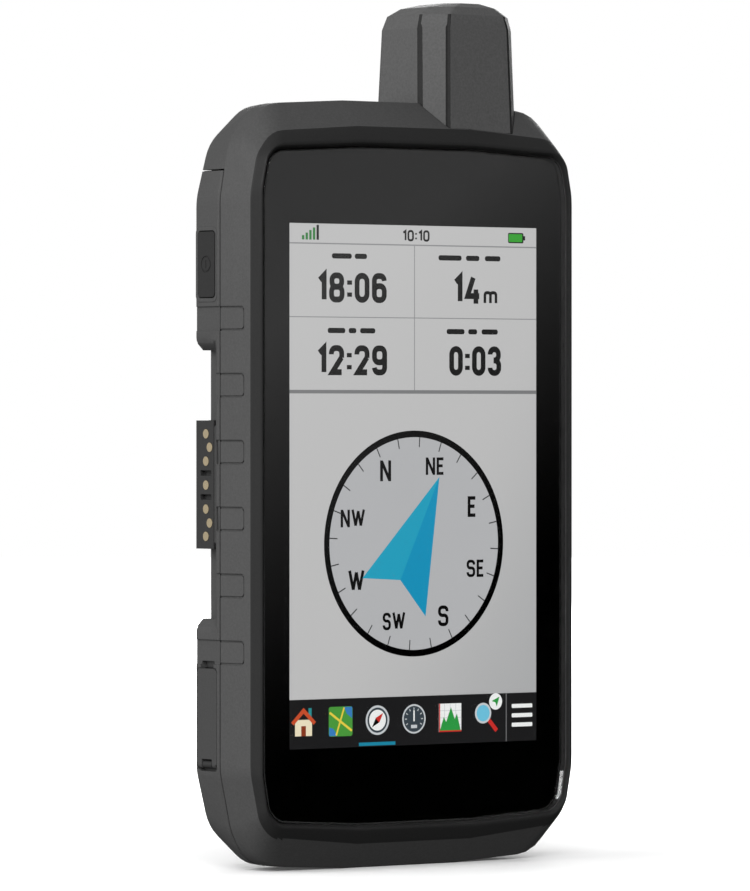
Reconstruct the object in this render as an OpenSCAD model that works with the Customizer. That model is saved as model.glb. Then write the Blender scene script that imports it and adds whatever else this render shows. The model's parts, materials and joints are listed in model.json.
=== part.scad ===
// Rugged handheld satellite navigator with a stub antenna.
// Frame: X is the device's width (left is -X), -Y is the screen side, +Z is up.
// Origin: middle of the footprint, on the surface that the device stands on.

/* [Body] */
// Width across the side rails
body_w = 88.2; // [86:0.2:90]
// Height of the housing without the antenna
body_h = 161.5; // [160:0.5:163]
// Overall height to the antenna's tip
total_h = 183; // [181:0.5:185]
// Overall thickness from lip to battery cover
body_t = 32.7; // [32.7:0.1:33.5]
// Wall thickness of the housings
wall = 2; // [1.8:0.1:2.2]

/* [Screen] */
// Width of the cover glass
glass_w = 80.4; // [80:0.1:80.6]
// Thickness of the cover glass
glass_t = 1.8; // [1.6:0.1:1.9]
// Width of the lit picture
picture_w = 65.8; // [64:0.1:66]
// Height of the lit picture
picture_h = 109.6; // [108:0.1:110]

/* [Side grips] */
// Number of shallow grip recesses on each side
grip_count = 6; // [4:1:6]
// Distance between grip recesses
grip_pitch = 13.9; // [13:0.1:14]
// Height of a grip recess
grip_h = 5.1; // [4:0.1:6]
// Depth of a grip recess
grip_depth = 0.4; // [0.3:0.05:0.5]

/* [Dock] */
// Height of the middle contact above the base
dock_z = 80.7; // [79:0.1:82]
// Radius of one gold contact
pin_r = 1; // [0.8:0.1:1.1]
// Depth of the cradle notches from the rear edge of the rail
notch_depth = 5.2; // [4.6:0.1:5.6]

/* [Battery] */
// Width of the battery pack
battery_w = 54; // [50:0.5:54]
// Height of the battery pack
battery_h = 74; // [70:0.5:75]
// Thickness of the battery pack
battery_t = 11.6; // [10:0.1:11.8]

/* [Hidden] */

// Planes from front to back
y_crest = -body_t / 2;              // tip of the lip round the glass
y_glass = y_crest + 0.6;            // front of the glass
y_glass_back = y_glass + glass_t;
y_ledge = y_glass_back + 0.4;       // ledge that the glass is glued to
y_board = y_glass_back + 7.2;       // back of the main board
y_ring = y_crest + 1.7;             // outer edge of the lip
y_shoulder = y_crest + 6.9;         // where the top and bottom slopes end
y_seam = y_crest + 10.8;            // joint between front and rear housing
seam_gap = 0.5;                     // width of the shadow line at that joint
y_rail = y_crest + 19.5;            // rear edge of the side rails
y_back = body_t / 2;                // flat of the back
y_notch = y_rail - notch_depth;     // front wall of the cradle notches
y_bay = y_crest + 17.85;            // floor of the battery bay
y_cover = y_back - 2;               // inner face of the battery cover
z_cap = 146.4;                      // joint between top cap and rear housing
half_w = body_w / 2;
picture_z = 25.7 + picture_h / 2;   // middle of the picture
cavity_hw = half_w - 5.6;           // half width of the space inside the rear housing
tiny = 0.02;

// Outlines seen from the front: [half width, bottom, top, bottom corner, top corner, radii].
// A corner is [height of the bend in the side, lean of the side, height of the cut, width of the
// cut, drop of the end], and radii go with its three bends. The ends are slightly crowned.
crown_flat = 15;
lip_w = 1.1;                        // from the glass to the lip's crest
glass_edge = [glass_w / 2, 9.4, 151.5, [11.5, 1.3, 4, 2.5, 1.3], [10, 1.3, 2.9, 2.4, 1.2],
    [14, 4, 4]];
lip_crest = [glass_w / 2 + lip_w, 8.1, 152.9, [12, 1.4, 4.3, 2.8, 1.3], [10.5, 1.4, 3.3, 2.8, 1.2],
    [14, 4.7, 4.7]];
lip_edge = [half_w - 1.4, 5.6, 155.7, [15.5, 2.2, 5.4, 3.1, 1.7], [14.2, 1.6, 6.4, 3.7, 1.6], [16, 6.5, 6.5]];
shoulder = [half_w - 0.55, 0, body_h, [21, 2.6, 9, 3.6, 1.3], [21, 2, 9.2, 5.6, 1.2], [16, 12, 9]];
widest = [half_w, 0, body_h, [21, 2.7, 8.8, 3.9, 1.3], [21, 2, 9.2, 5.8, 1.2], [16, 12, 9]];
rail_rear = [half_w, 0, body_h, [21, 3.1, 9.2, 9.8, 0.8], [21, 3.2, 9.4, 9.2, 1.3], [14, 10, 9]];
back_edge = [30.2, 8, 141, [10, 0.8, 3, 3, 0.3], [16, 3, 5, 5, 0.4], [10, 3, 3]];

// Grips, fasteners, ports and keys
grip_first = dock_z + 34.7 - grip_pitch * (grip_count - 1);
screw_x = 36.3;
screw_z = [17, dock_z, 134];
latch_z = [19, 115];                // lower, upper
latch_head_r = 5.6;
latch_shank_r = 1.7;
ring_r = 3.4;                       // middle line of a D-ring
ring_wire_r = 0.7;
ring_y = y_back - 1.05;             // pivot of a D-ring
cover_z = [9.5, 124.5];
cover_hw = 28.4;
cover_mid = (cover_z[0] + cover_z[1]) / 2;
cover_h = cover_z[1] - cover_z[0];
bay_hw = battery_w / 2 + 0.25;
bay_z = [29.5, 29.5 + battery_h + 1];
key_y = [y_crest + 12.5, y_crest + 18.3];
key_z = [119.9, 133.6];
key_travel = 0.5;
key_mid = [(key_y[0] + key_y[1]) / 2, (key_z[0] + key_z[1]) / 2];
key_w = key_y[1] - key_y[0];
key_h = key_z[1] - key_z[0];
key_stem_r = 1.2;
usb_y = [y_crest + 12.1, y_crest + 19.1];
usb_z = [21.5, 42.4];
usb_mid = [(usb_y[0] + usb_y[1]) / 2, (usb_z[0] + usb_z[1]) / 2];
usb_w = usb_y[1] - usb_y[0];
usb_h = usb_z[1] - usb_z[0];
usb_pin_r = 0.4;
port_mid_z = 34.4;                  // middle of the socket behind the cover
usb_pivot = [-half_w + 0.9, 22.4];  // X and Z of the hinge line of the port cover
port_x = 15.5;
port_z = 132.5;
speaker_x = -14;
port_pin_r = 0.35;
lanyard_y = y_rail + 5.5;
lanyard_z = 7.4;
lanyard_r = 1;
stub_x = 18.1;
stub_base_z = 155.4;
stub_w = 26.2;
stub_y = [y_crest + 2.1, y_crest + 26.2];
former_y = y_crest + 9.5;
lead_r = 0.65;                      // the antenna's lead

// ---- Geometry helpers -------------------------------------------------------------------

function unit(v) = v / norm(v);

// Corner points of an outline, anticlockwise, from the middle of the bottom edge.
function corners(o) = let (b = o[3], t = o[4], hw = o[0]) [
    [crown_flat, o[1]], [hw - b[1] - b[3], o[1] + b[4]], [hw - b[1], o[1] + b[2]], [hw, o[1] + b[0]],
    [hw, o[2] - t[0]], [hw - t[1], o[2] - t[2]], [hw - t[1] - t[3], o[2] - t[4]], [crown_flat, o[2]],
    [-crown_flat, o[2]], [-hw + t[1] + t[3], o[2] - t[4]], [-hw + t[1], o[2] - t[2]], [-hw, o[2] - t[0]],
    [-hw, o[1] + b[0]], [-hw + b[1], o[1] + b[2]], [-hw + b[1] + b[3], o[1] + b[4]], [-crown_flat, o[1]]];

function corner_radii(o) = let (r = o[5]) [0, r[2], r[1], r[0], r[0], r[1], r[2], 0, 0, r[2], r[1], r[0],
    r[0], r[1], r[2], 0];

// The corners of a convex outline with each edge moved inwards by d.
function inset(p, d) = [for (i = [0 : len(p) - 1]) let (
    a = p[(i + len(p) - 1) % len(p)], c = p[(i + 1) % len(p)],
    u = unit(p[i] - a), v = unit(c - p[i]),
    n = unit([-u[1] - v[1], u[0] + v[0]]))
    p[i] + n * d / (n * [-u[1], u[0]])];

// Replaces each corner by an arc of its radius, in steps chords.
function rounded(p, radii, steps = 4) = [for (i = [0 : len(p) - 1]) let (
    a = unit(p[(i + len(p) - 1) % len(p)] - p[i]), b = unit(p[(i + 1) % len(p)] - p[i]),
    half = acos(a * b) / 2, r = radii[i])
    each r <= 0 ? [p[i]] : let (
        centre = p[i] + unit(a + b) * r / sin(half), first = p[i] + a * r / tan(half) - centre,
        turn = 180 - 2 * half, s = a[0] * b[1] - a[1] * b[0] > 0 ? -1 : 1)
    [for (k = [0 : steps]) let (w = s * turn * k / steps)
        centre + [first[0] * cos(w) - first[1] * sin(w), first[0] * sin(w) + first[1] * cos(w)]]];

function outline(o, d = 0) =
    rounded(inset(corners(o), d), [for (r = corner_radii(o)) r <= 0 ? 0 : max(0.3, r - d)]);

// A plate of an outline, from y0 to y1.
module plate(points, y0, y1) {
    translate([0, y1, 0]) rotate([90, 0, 0]) linear_extrude(y1 - y0) polygon(points);
}

// A box given by two opposite corners.
module block(a, b) {
    translate(a) cube(b - a);
}

module rounded_square(w, h, r) {
    square([w - 2 * r, h], center = true);
    square([w, h - 2 * r], center = true);
    for (x = [-1, 1], y = [-1, 1]) translate([x * (w / 2 - r), y * (h / 2 - r)]) circle(r, $fn = 32);
}

// A plate with round corners facing along Y, about [x, z], from y0 to y1.
module panel(x, z, w, h, r, y0, y1) {
    translate([x, y1, z]) rotate([90, 0, 0]) linear_extrude(y1 - y0) rounded_square(w, h, r);
}

// A plate with round corners facing along X, about [y, z], from x0 to x1.
module side_panel(y, z, w, h, r, x0, x1) {
    translate([x0, y, z]) rotate([90, 0, 90]) linear_extrude(x1 - x0) rounded_square(w, h, r);
}

// A cylinder along Y from y0 to y1, and one along X from x0 to x1.
module rod_y(x, z, r, y0, y1, fn = 32) {
    translate([x, y1, z]) rotate([90, 0, 0]) cylinder(r = r, h = y1 - y0, $fn = fn);
}

module rod_x(y, z, r, x0, x1, fn = 32) {
    translate([x0, y, z]) rotate([0, 90, 0]) cylinder(r = r, h = x1 - x0, $fn = fn);
}

module at_screws() {
    for (s = [-1, 1], z = screw_z) translate([s * screw_x, 0, z]) children();
}

// ---- Shared body shapes -----------------------------------------------------------------

// Part way from a to b, number by number.
function between(a, b, t) =
    is_num(a) ? a + (b - a) * t : [for (i = [0 : len(a) - 1]) between(a[i], b[i], t)];

// A convex skin through stations, each [y, outline]. Its edges are softened for e either side,
// and the very first edge for first_e.
module skin(stations, e, first_e) {
    last = len(stations) - 1;
    hull() {
        plate(outline(stations[0][1], first_e), stations[0][0], stations[0][0] + tiny);
        for (i = [0 : last - 1]) {
            a = stations[i];
            b = stations[i + 1];
            t = e / (b[0] - a[0]);
            plate(outline(between(a[1], b[1], t)), a[0] + e, a[0] + e + tiny);
            plate(outline(between(a[1], b[1], 1 - t)), b[0] - e - tiny, b[0] - e);
        }
        plate(outline(stations[last][1], e), stations[last][0] - tiny, stations[last][0]);
    }
}

module front_body() {
    skin([[y_crest, lip_crest], [y_ring, lip_edge], [y_shoulder, shoulder], [y_seam, widest]], 0.2, 0.2);
}

module rail_body(start = y_seam) {
    skin([[start, widest], [y_rail, rail_rear]], 0.35, 0.35);
}

module back_body() hull() {
    plate(outline(rail_rear, 4), y_rail - 2, y_rail);
    plate(outline(back_edge, 0.2), y_back - 0.7, y_back - 0.69);
    plate(outline(back_edge, 0.8), y_back - tiny, y_back);
}

// The antenna's outside, grown by g. Each station is [z, narrowing of each side, setback of the
// front, setback of the back, corner cut], and a skirt at the back reaches down into the cap.
stub_stations = [[stub_base_z, 0, 0, 0, 4.6], [total_h - 5.5, 0.5, 0.75, 1.2, 4.6],
    [total_h - 2.6, 1.3, 1.2, 2.2, 4.4], [total_h - 0.9, 4, 2.2, 4, 3.8],
    [total_h - tiny, 8, 3.6, 6.5, 2.6]];

function stub_section(s, g) = let (w = stub_w / 2 + g - s[1], c = s[4],
    y0 = stub_y[0] - g + s[2], y1 = stub_y[1] + g - s[3])
    [[stub_x - w + c, y0], [stub_x + w - c, y0], [stub_x + w, y0 + c], [stub_x + w, y1 - c],
    [stub_x + w - c, y1], [stub_x - w + c, y1], [stub_x - w, y1 - c], [stub_x - w, y0 + c]];

module stub_body(g = 0) hull() {
    for (i = [0 : len(stub_stations) - 1]) let (s = stub_stations[i])
        translate([0, 0, s[0] + (i == 0 ? -g : g)]) linear_extrude(tiny)
            polygon(rounded(stub_section(s, g), [1, 1, 1, 2, 2, 2, 2, 1], 3));
    translate([stub_x, 7.2, 152]) linear_extrude(tiny) square([18 + 2 * g, 3.2 + 2 * g], center = true);
}

// Shallow grooves down the front corners of the antenna, the outer two wider. Each is
// [corner, distance of its middle outside the body, radius].
module stub_grooves() {
    for (c = [[0, 0.45, 0.95], [1, 0.45, 0.95], [2, 0.95, 1.65], [7, 0.95, 1.65]])
        hull() for (i = [0, 1]) let (p = stub_section(stub_stations[i], c[1])[c[0]])
            translate([p[0], p[1], i == 0 ? stub_base_z - 1 : total_h - 4.6])
                linear_extrude(tiny) circle(c[2], $fn = 16);
}

// Grips on both sides: outlined pads on the sloped front part, and recesses across the rails.
module at_grips() {
    for (s = [0, 1], i = [0 : grip_count - 1])
        mirror([s, 0, 0]) translate([-half_w, y_seam, grip_first + i * grip_pitch]) children();
}

module front_grips() {
    lean = atan((widest[0] - lip_edge[0]) / (y_seam - y_ring));
    at_grips() rotate([0, 0, lean]) difference() {
        side_panel(0, 0, 14.4, grip_h, 0.9, -2, 0.4);
        side_panel(0, 0, 13.6, grip_h - 0.8, 0.6, 0.1, 1);
    }
}

module rail_grips() {
    at_grips() block([-1, -1, -grip_h / 2], [grip_depth, 12, grip_h / 2]);
}

// ---- Housings ---------------------------------------------------------------------------

module front_housing() color("#4a4b4c") {
    difference() {
        union() {
            difference() {
                union() {
                    front_body();
                    intersection() {
                        union() {
                            rail_body(y_seam - 0.5);
                            back_body();
                        }
                        block([-60, y_seam - 1, z_cap + 0.15], [60, 60, 200]);
                    }
                }
                // space for the screen's frame and the board
                plate(outline(widest, 6.2), y_ledge + 1.2, y_shoulder + 1);
                plate(outline(widest, 3.4), y_shoulder + 0.5, y_seam + tiny);
                // space inside the top cap
                block([-30, y_seam - 1, z_cap - 1], [30, y_rail - 4, body_h - wall - 0.6]);
                block([-20, y_rail - 4.5, z_cap - 1], [20, y_rail + 1.5, body_h - 9]);
            }
            at_screws() rod_y(0, 0, 3, y_ledge + 1, y_seam);
        }
        // pocket for the glass, with a sloped inner face on the lip
        plate(outline(glass_edge, -0.2), y_crest - 1, y_ledge);
        hull() {
            plate(outline(lip_crest, 0.45), y_crest - tiny, y_crest);
            plate(outline(glass_edge, -0.2), y_glass, y_glass + 0.1);
        }
        panel(0, picture_z, picture_w + 5.2, picture_h + 9.4, 2, y_crest, y_seam);
        at_screws() rod_y(0, 0, 2, y_ledge + 3, y_seam + 1);
        front_grips();
        // seat and cable hole of the antenna
        stub_body(0.08);
        translate([stub_x, former_y, z_cap]) cylinder(r = 5, h = 20, $fn = 48);
        // groove for the housing seal
        difference() {
            plate(outline(widest, 1.3), y_seam - 0.8, y_seam + tiny);
            plate(outline(widest, 2.5), y_seam - 2, y_seam + 1);
            block([-60, -60, z_cap - 2], [60, 60, 200]);
        }
    }
}

// The sloped sides of a cradle notch about height z.
module notch_bevel(z) {
    out = -half_w - 1;
    in = -half_w + 2;
    intersection() {
        plate([[out, z - 10.3], [in, z - 7.3], [in, z + 7.3], [out, z + 10.3]], y_notch - 3, y_rail + 1);
        translate([0, 0, z - 11]) linear_extrude(22)
            polygon([[out, y_notch - 3], [in, y_notch], [in, y_rail + 1], [out, y_rail + 1]]);
    }
}

module rear_housing() color("#484949") {
    difference() {
        intersection() {
            // set back a little at the joint, which leaves a shadow line
            union() {
                plate(outline(widest, 0.6), y_seam, y_seam + seam_gap + 0.5);
                rail_body(y_seam + seam_gap);
                back_body();
                // heels either side of the lanyard slot
                for (s = [-1, 1]) translate([s * 11.5, 0, 0])
                    block([-3.2, y_rail - 3, 0], [3.2, y_rail + 5.5, 6]);
            }
            block([-60, y_seam, -1], [60, 60, z_cap - 0.15]);
        }
        // space for the electronics
        panel(0, 76, 2 * cavity_hw, 141, 5, y_seam - 1, y_bay - 1);
        block([-24, y_seam, z_cap - 20], [24, y_bay - 1, z_cap + 1]);
        // battery bay and seat of its cover
        panel(0, (bay_z[0] + bay_z[1]) / 2, 2 * bay_hw, bay_z[1] - bay_z[0], 2, y_bay, y_back + 1);
        panel(0, cover_mid, 2 * cover_hw + 0.4, cover_h + 0.4, 5.2, y_cover - 0.6, y_back + 1);
        // seat of the spring contacts and well of the memory card in the floor of the bay
        block([-10, y_bay - 2, bay_z[1] - 4.4], [10, y_bay + 1, bay_z[1] - 0.6]);
        block([-24, y_bay - 3, 36], [-8, y_bay + 1, 62]);
        // latches
        for (z = latch_z) {
            rod_y(0, z, 7.9, y_back - 6.1, y_back);
            rod_y(0, z, 2.6, y_back - 11.1, y_back - 6);
            rod_y(0, z, latch_shank_r + 0.3, y_back - 12, y_back - 11);
        }
        // hollows either side of the latches
        for (s = [-1, 1]) {
            block([s < 0 ? -24 : 9.5, y_bay - 2, 10.5], [s < 0 ? -9.5 : 24, y_cover - 2.4, 27.5]);
            block([s < 0 ? -24 : 9.5, y_bay - 2, 107], [s < 0 ? -9.5 : 24, y_cover - 2.4, 124]);
        }
        block([-22, y_bay - 2, 127], [22, y_cover - 1.6, 136.5]);
        // screws, from the back
        at_screws() {
            rod_y(0, 0, 3.1, y_seam + 5.6, y_back + 1);
            rod_y(0, 0, 1.45, y_seam - 1, y_seam + 6);
        }
        rail_grips();
        // cradle notches in both rails
        for (s = [0, 1], z = [dock_z - 20.65, dock_z + 20.85]) mirror([s, 0, 0]) {
            side_panel(y_notch + 5, z, 10, 14.6, 1.6, -half_w - 1, -half_w + 4);
            notch_bevel(z);
        }
        // recess along each rail with sloped edges, and the seat of the contact block
        for (s = [0, 1]) mirror([s, 0, 0]) hull() {
            side_panel(y_notch + 4.6, dock_z, 14, 62, 2.6, -half_w - 0.2, -half_w - 0.1);
            side_panel(y_notch + 5.2, dock_z, 13, 59.4, 1.6, -half_w + 0.5, -half_w + 0.6);
        }
        for (i = [2, 3])
            side_panel(y_notch - 2, grip_first + i * grip_pitch, 0.5, grip_h, 0.2, -half_w - 1, -half_w + 1.4);
        block([-half_w - 1, y_notch - 0.7, dock_z - 13.35], [-half_w + 3.4, y_rail + 1, dock_z + 13.55]);
        // power key
        side_panel(key_mid[0], key_mid[1], key_w + 0.4, key_h + 0.4, 1, -half_w - 1, -half_w + 2.8);
        rod_x(key_mid[0], key_mid[1], key_stem_r + 0.1, -half_w, -cavity_hw + 1);
        // port recess behind the rubber cover, its finger notch and the port's own opening
        side_panel(usb_mid[0], usb_mid[1] - 0.15, usb_w + 0.4, usb_h + 0.7, 0.9, -half_w - 1, -half_w + 2);
        side_panel(usb_mid[0] - 0.2, usb_z[1] + 0.6, 4.6, 2, 0.4, -half_w - 1, -half_w + 1.6);
        side_panel(usb_mid[0] - 0.4, port_mid_z, 4.4, 9.8, 0.8, -half_w, -cavity_hw + 1);
        // antenna port, its cover's recess and the speaker's holes
        panel(port_x, port_z, 9.4, 12.9, 0.6, y_back - 2, y_back + 1);
        rod_y(port_x, port_z, 3, y_back - 6, y_back);
        rod_x(y_back - 0.9, port_z - 5.2, port_pin_r, port_x - 5.6, port_x + 5.6);
        for (i = [-2 : 2], j = [-1 : 1])
            rod_y(speaker_x + i * 2.2, port_z + j * 2.2, 0.6, y_back - 6, y_back + 1, 16);
        // slot of the lanyard bar
        block([-7, lanyard_y - 4, -1], [7, lanyard_y + 4, 10.4]);
        rod_x(lanyard_y, lanyard_z, lanyard_r, -10, 10);
    }
    // raised frame round the power key
    difference() {
        side_panel(key_mid[0] + 0.1, key_mid[1], key_w + 1.6, key_h + 2, 1.4, -half_w - 0.1, -half_w);
        side_panel(key_mid[0], key_mid[1], key_w + 0.4, key_h + 0.4, 1, -half_w - 1, -half_w + 2);
    }
}

module antenna_cover() color("#565757") {
    difference() {
        stub_body();
        stub_grooves();
        translate([stub_x, former_y, 151]) cylinder(r = 5, h = total_h - 155, $fn = 48);
        block([stub_x - 10.6, former_y - 4, 151], [stub_x + 10.6, former_y + 3.4, total_h - 6]);
        block([stub_x - 10.6, former_y + 3, stub_base_z + 2], [stub_x + 10.6, 6, total_h - 7]);
    }
}

module housing_gasket() color("#2b2b2b") {
    difference() {
        plate(outline(widest, 1.35), y_seam - 0.75, y_seam);
        plate(outline(widest, 2.45), y_seam - 2, y_seam + 1);
        block([-60, -60, z_cap - 2.05], [60, 60, 200]);
    }
}

// ---- Screen -----------------------------------------------------------------------------

module cover_glass() color("#17181a") plate(outline(glass_edge), y_glass, y_glass_back);

module glass_gasket() color("#1d1d1d") {
    difference() {
        plate(outline(glass_edge, 0.3), y_glass_back, y_ledge);
        panel(0, picture_z, picture_w + 5.4, picture_h + 9.6, 2, y_glass, y_seam);
    }
}

module display_panel() color("#c9cbcc")
    panel(0, picture_z, picture_w + 3.6, picture_h + 7.6, 0.6, y_glass_back, y_glass_back + 1.5);

module backlight() color("#dfe1e2")
    panel(0, picture_z, picture_w + 3.6, picture_h + 7.6, 0.6, y_glass_back + 1.5, y_glass_back + 3.2);

module display_frame() color("#8f9296") {
    difference() {
        panel(0, 80, 72, 138, 4, y_glass_back + 3.4, y_glass_back + 4.4);
        at_screws() rod_y(0, 0, 3.3, y_glass, y_seam);
        panel(18, 30, 20, 8, 1, y_glass, y_seam);
    }
    for (x = [-30, 30], z = [14, 146]) rod_y(x, z, 1.6, y_glass_back + 4.4, y_board - 1.2);
}

module display_cable() color("#b5762c") {
    block([12, y_glass_back + 3.25, 29.4], [24, y_glass_back + 3.38, 32]);
    block([12, y_glass_back + 3.38, 29.4], [24, y_glass_back + 5.8, 29.55]);
    block([12, y_glass_back + 5.65, 29.55], [24, y_glass_back + 5.8, 36]);
}

// ---- Electronics ------------------------------------------------------------------------

module main_board() color("#1f5a3a") {
    difference() {
        panel(0, 80, 65, 136, 2, y_board - 1.2, y_board);
        for (x = [-30, 30], z = [14, 146]) rod_y(x, z, 0.8, y_board - 2, y_board + 1);
    }
}

module board_chips() color("#26272b") {
    block([-26, y_board, 104], [-12, y_board + 1.2, 118]);
    block([-8, y_board, 108], [2, y_board + 1, 120]);
    block([10, y_board, 20], [18, y_board + 0.9, 30]);
    for (i = [0 : 4]) block([-26 + i * 6, y_board, 124], [-23 + i * 6, y_board + 0.8, 126]);
    for (i = [0 : 3]) block([22, y_board, 52 + i * 7], [26, y_board + 1, 55 + i * 7]);
}

module shield_can() color("#c3c6c9") difference() {
    block([-22, y_board, 46], [14, y_board + 2.2, 84]);
    block([-21.8, y_board - 1, 46.2], [13.8, y_board + 2, 83.8]);
}

module speaker() color("#3a3a3c") {
    difference() {
        rod_y(speaker_x, port_z - 0.7, 8, y_bay - 6.5, y_bay - 2.6, 48);
        rod_y(speaker_x, port_z - 0.7, 6.4, y_bay - 3.4, y_bay - 2, 48);
    }
    rod_y(speaker_x, port_z - 0.7, 3, y_bay - 3.4, y_bay - 2.8);
}

module antenna_former() color("#e3dfd3") {
    difference() {
        translate([stub_x, former_y, 151]) cylinder(r = 3.6, h = total_h - 151 - 6, $fn = 48);
        translate([stub_x, former_y, 150]) cylinder(r = 2.8, h = total_h - 151 - 6, $fn = 48);
    }
}

module antenna_helix() color("#c98b4a") {
    for (a = [0 : 90 : 270]) translate([stub_x, former_y, 157]) rotate([0, 0, a])
        linear_extrude(height = 18, twist = 180, slices = 12) translate([3.65, -0.8]) square([0.3, 1.6]);
}

// A coaxial lead from the antenna's core, over the top edge of the board to a plug on its back.
module antenna_cable() color("#6b4a2b") {
    bend_z = 149.3;
    plug_y = y_board + 1;
    translate([stub_x, former_y, bend_z]) cylinder(r = lead_r, h = 9, $fn = 16);
    translate([stub_x, former_y, bend_z]) sphere(r = lead_r, $fn = 16);
    rod_y(stub_x, bend_z, lead_r, former_y, plug_y, 16);
    translate([stub_x, plug_y, bend_z]) sphere(r = lead_r, $fn = 16);
    translate([stub_x, plug_y, 146]) cylinder(r = lead_r, h = bend_z - 146, $fn = 16);
    block([stub_x - 1.6, y_board, 144.4], [stub_x + 1.6, y_board + 1.7, 147.6]);
}

module screw_inserts() color("#b78a3f") at_screws()
    difference() {
        rod_y(0, 0, 2, y_ledge + 3, y_seam - 0.05);
        rod_y(0, 0, 1.3, y_ledge + 1, y_seam + 1);
    }

module housing_screws() color("#2a2a2b") at_screws()
    difference() {
        union() {
            rod_y(0, 0, 1.25, y_ledge + 3.4, y_seam + 5.7);
            rod_y(0, 0, 2.4, y_seam + 5.6, y_seam + 7.4);
        }
        rod_y(0, 0, 1.15, y_seam + 6.3, y_seam + 8, 6);
    }

// ---- Side keys, dock contacts and ports -------------------------------------------------

module power_key() color("#3b3c3c") {
    difference() {
        side_panel(key_mid[0], key_mid[1], key_w, key_h, 0.8, -half_w - 0.2, -half_w + 1.7);
        // power sign: a ring with a bar
        difference() {
            rod_x(key_mid[0] + 0.1, key_mid[1], 1.75, -half_w - 1, -half_w - 0.05, 40);
            rod_x(key_mid[0] + 0.1, key_mid[1], 1.45, -half_w - 2, -half_w, 40);
        }
        side_panel(key_mid[0] + 0.1, key_mid[1], 0.3, 1.7, 0.1, -half_w - 1, -half_w - 0.05);
    }
    rod_x(key_mid[0], key_mid[1], key_stem_r, -half_w + 1.6, -cavity_hw - 0.3 - key_travel);
}

module key_seal() color("#222223") difference() {
    side_panel(key_mid[0], key_mid[1], key_w - 0.6, key_h - 0.6, 0.7, -half_w + 2.5, -half_w + 2.8);
    rod_x(key_mid[0], key_mid[1], key_stem_r + 0.15, -half_w, -half_w + 4);
}

module power_switch() color("#7b7d80") translate([-cavity_hw, key_mid[0], key_mid[1]]) {
    rod_x(0, 0, 0.9, 0, 0.8, 24);
    block([0.8, -1.4, -2.4], [2.2, 1.4, 2.4]);
    block([2.2, -1.4, -4.5], [3, 1.4, 4.5]);
}

// [Z from the middle contact, Y from the middle contact] of each gold contact
contact_places = [for (s = [-1, 1]) each [[s * 5, 0], [s * 7.9, -1.3], [s * 10.7, 0]], [0, 0]];

module at_contacts() {
    for (p = contact_places) translate([0, y_notch + 2, dock_z + p[0]]) translate([0, p[1], 0]) children();
}

module contact_block() color("#3f4040") {
    difference() {
        block([-half_w + 0.45, y_notch - 0.65, dock_z - 13.3], [-half_w + 3.35, y_rail + 0.3, dock_z + 13.5]);
        at_contacts() rod_x(0, 0, pin_r, -half_w - 1, -half_w + 4, 24);
        for (z = [-2.5, 2.5])
            side_panel(y_notch + 2.1, dock_z + z, 3.8, 1.1, 0.2, -half_w, -half_w + 1.6);
    }
}

module contact_pins() color("#e2c07a") at_contacts() {
    rod_x(0, 0, pin_r - 0.02, -half_w + 0.35, -half_w + 3.3, 24);
}

module usb_port() color("#b9bcc0") {
    difference() {
        side_panel(usb_mid[0] - 0.4, port_mid_z, 3.2, 8.4, 0.7, -half_w + 2.6, -half_w + 8);
        side_panel(usb_mid[0] - 0.4, port_mid_z, 2.6, 7.6, 0.5, -half_w + 1, -half_w + 7.4);
    }
    side_panel(usb_mid[0] - 0.4, port_mid_z, 0.6, 5.6, 0.1, -half_w + 3.4, -half_w + 7.5);
}

module usb_cover() color("#545555") {
    difference() {
        union() {
            intersection() {
                side_panel(usb_mid[0], usb_mid[1], usb_w, usb_h, 1.2, -half_w + 0.05, -half_w + 1.75);
                block([-60, -60, usb_pivot[1]], [60, 60, 60]);
            }
            rod_y(usb_pivot[0], usb_pivot[1], 0.85, usb_y[0] + 0.4, usb_y[1] - 0.4);
        }
        rod_y(usb_pivot[0], usb_pivot[1], usb_pin_r + 0.05, usb_y[0] - 1, usb_y[1] + 1);
        block([-60, usb_mid[0] - 1.8, -60], [60, usb_mid[0] + 1.8, usb_pivot[1] + 1.1]);
    }
    // plug that fills the mouth of the port
    side_panel(usb_mid[0] - 0.4, port_mid_z - 0.2, 3.4, 7.6, 0.6, -half_w + 1.7, -half_w + 2.3);
}

module usb_cover_anchor() color("#3c3d3d") {
    rod_y(usb_pivot[0], usb_pivot[1], 0.8, usb_mid[0] - 1.5, usb_mid[0] + 1.5);
    side_panel(usb_mid[0], usb_pivot[1], 3, 1.6, 0.2, usb_pivot[0], -half_w + 2);
    rod_y(usb_pivot[0], usb_pivot[1], usb_pin_r, usb_y[0], usb_y[1]);
}

module antenna_port() color("#d0a84e") {
    difference() {
        rod_y(port_x, port_z, 3, y_back - 6, y_back - 2.4);
        rod_y(port_x, port_z, 1.75, y_back - 5.4, y_back);
    }
    rod_y(port_x, port_z, 0.45, y_back - 5.4, y_back - 3, 24);
}

module antenna_port_cover() color("#3c3d3d") {
    difference() {
        union() {
            intersection() {
                panel(port_x, port_z, 9, 12, 1, y_back - 1.7, y_back - 0.05);
                block([-60, -60, port_z - 5.2], [60, 60, 200]);
            }
            rod_x(y_back - 0.9, port_z - 5.2, 0.8, port_x - 3, port_x + 3);
        }
        rod_x(y_back - 0.9, port_z - 5.2, port_pin_r + 0.05, port_x - 6, port_x + 6);
    }
    rod_y(port_x, port_z, 2.2, y_back - 2.1, y_back - 1.6);
}

module antenna_port_pin() color("#9da0a3")
    rod_x(y_back - 0.9, port_z - 5.2, port_pin_r, port_x - 5.5, port_x + 5.5);

// ---- Battery, its cover and latches -----------------------------------------------------

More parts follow.
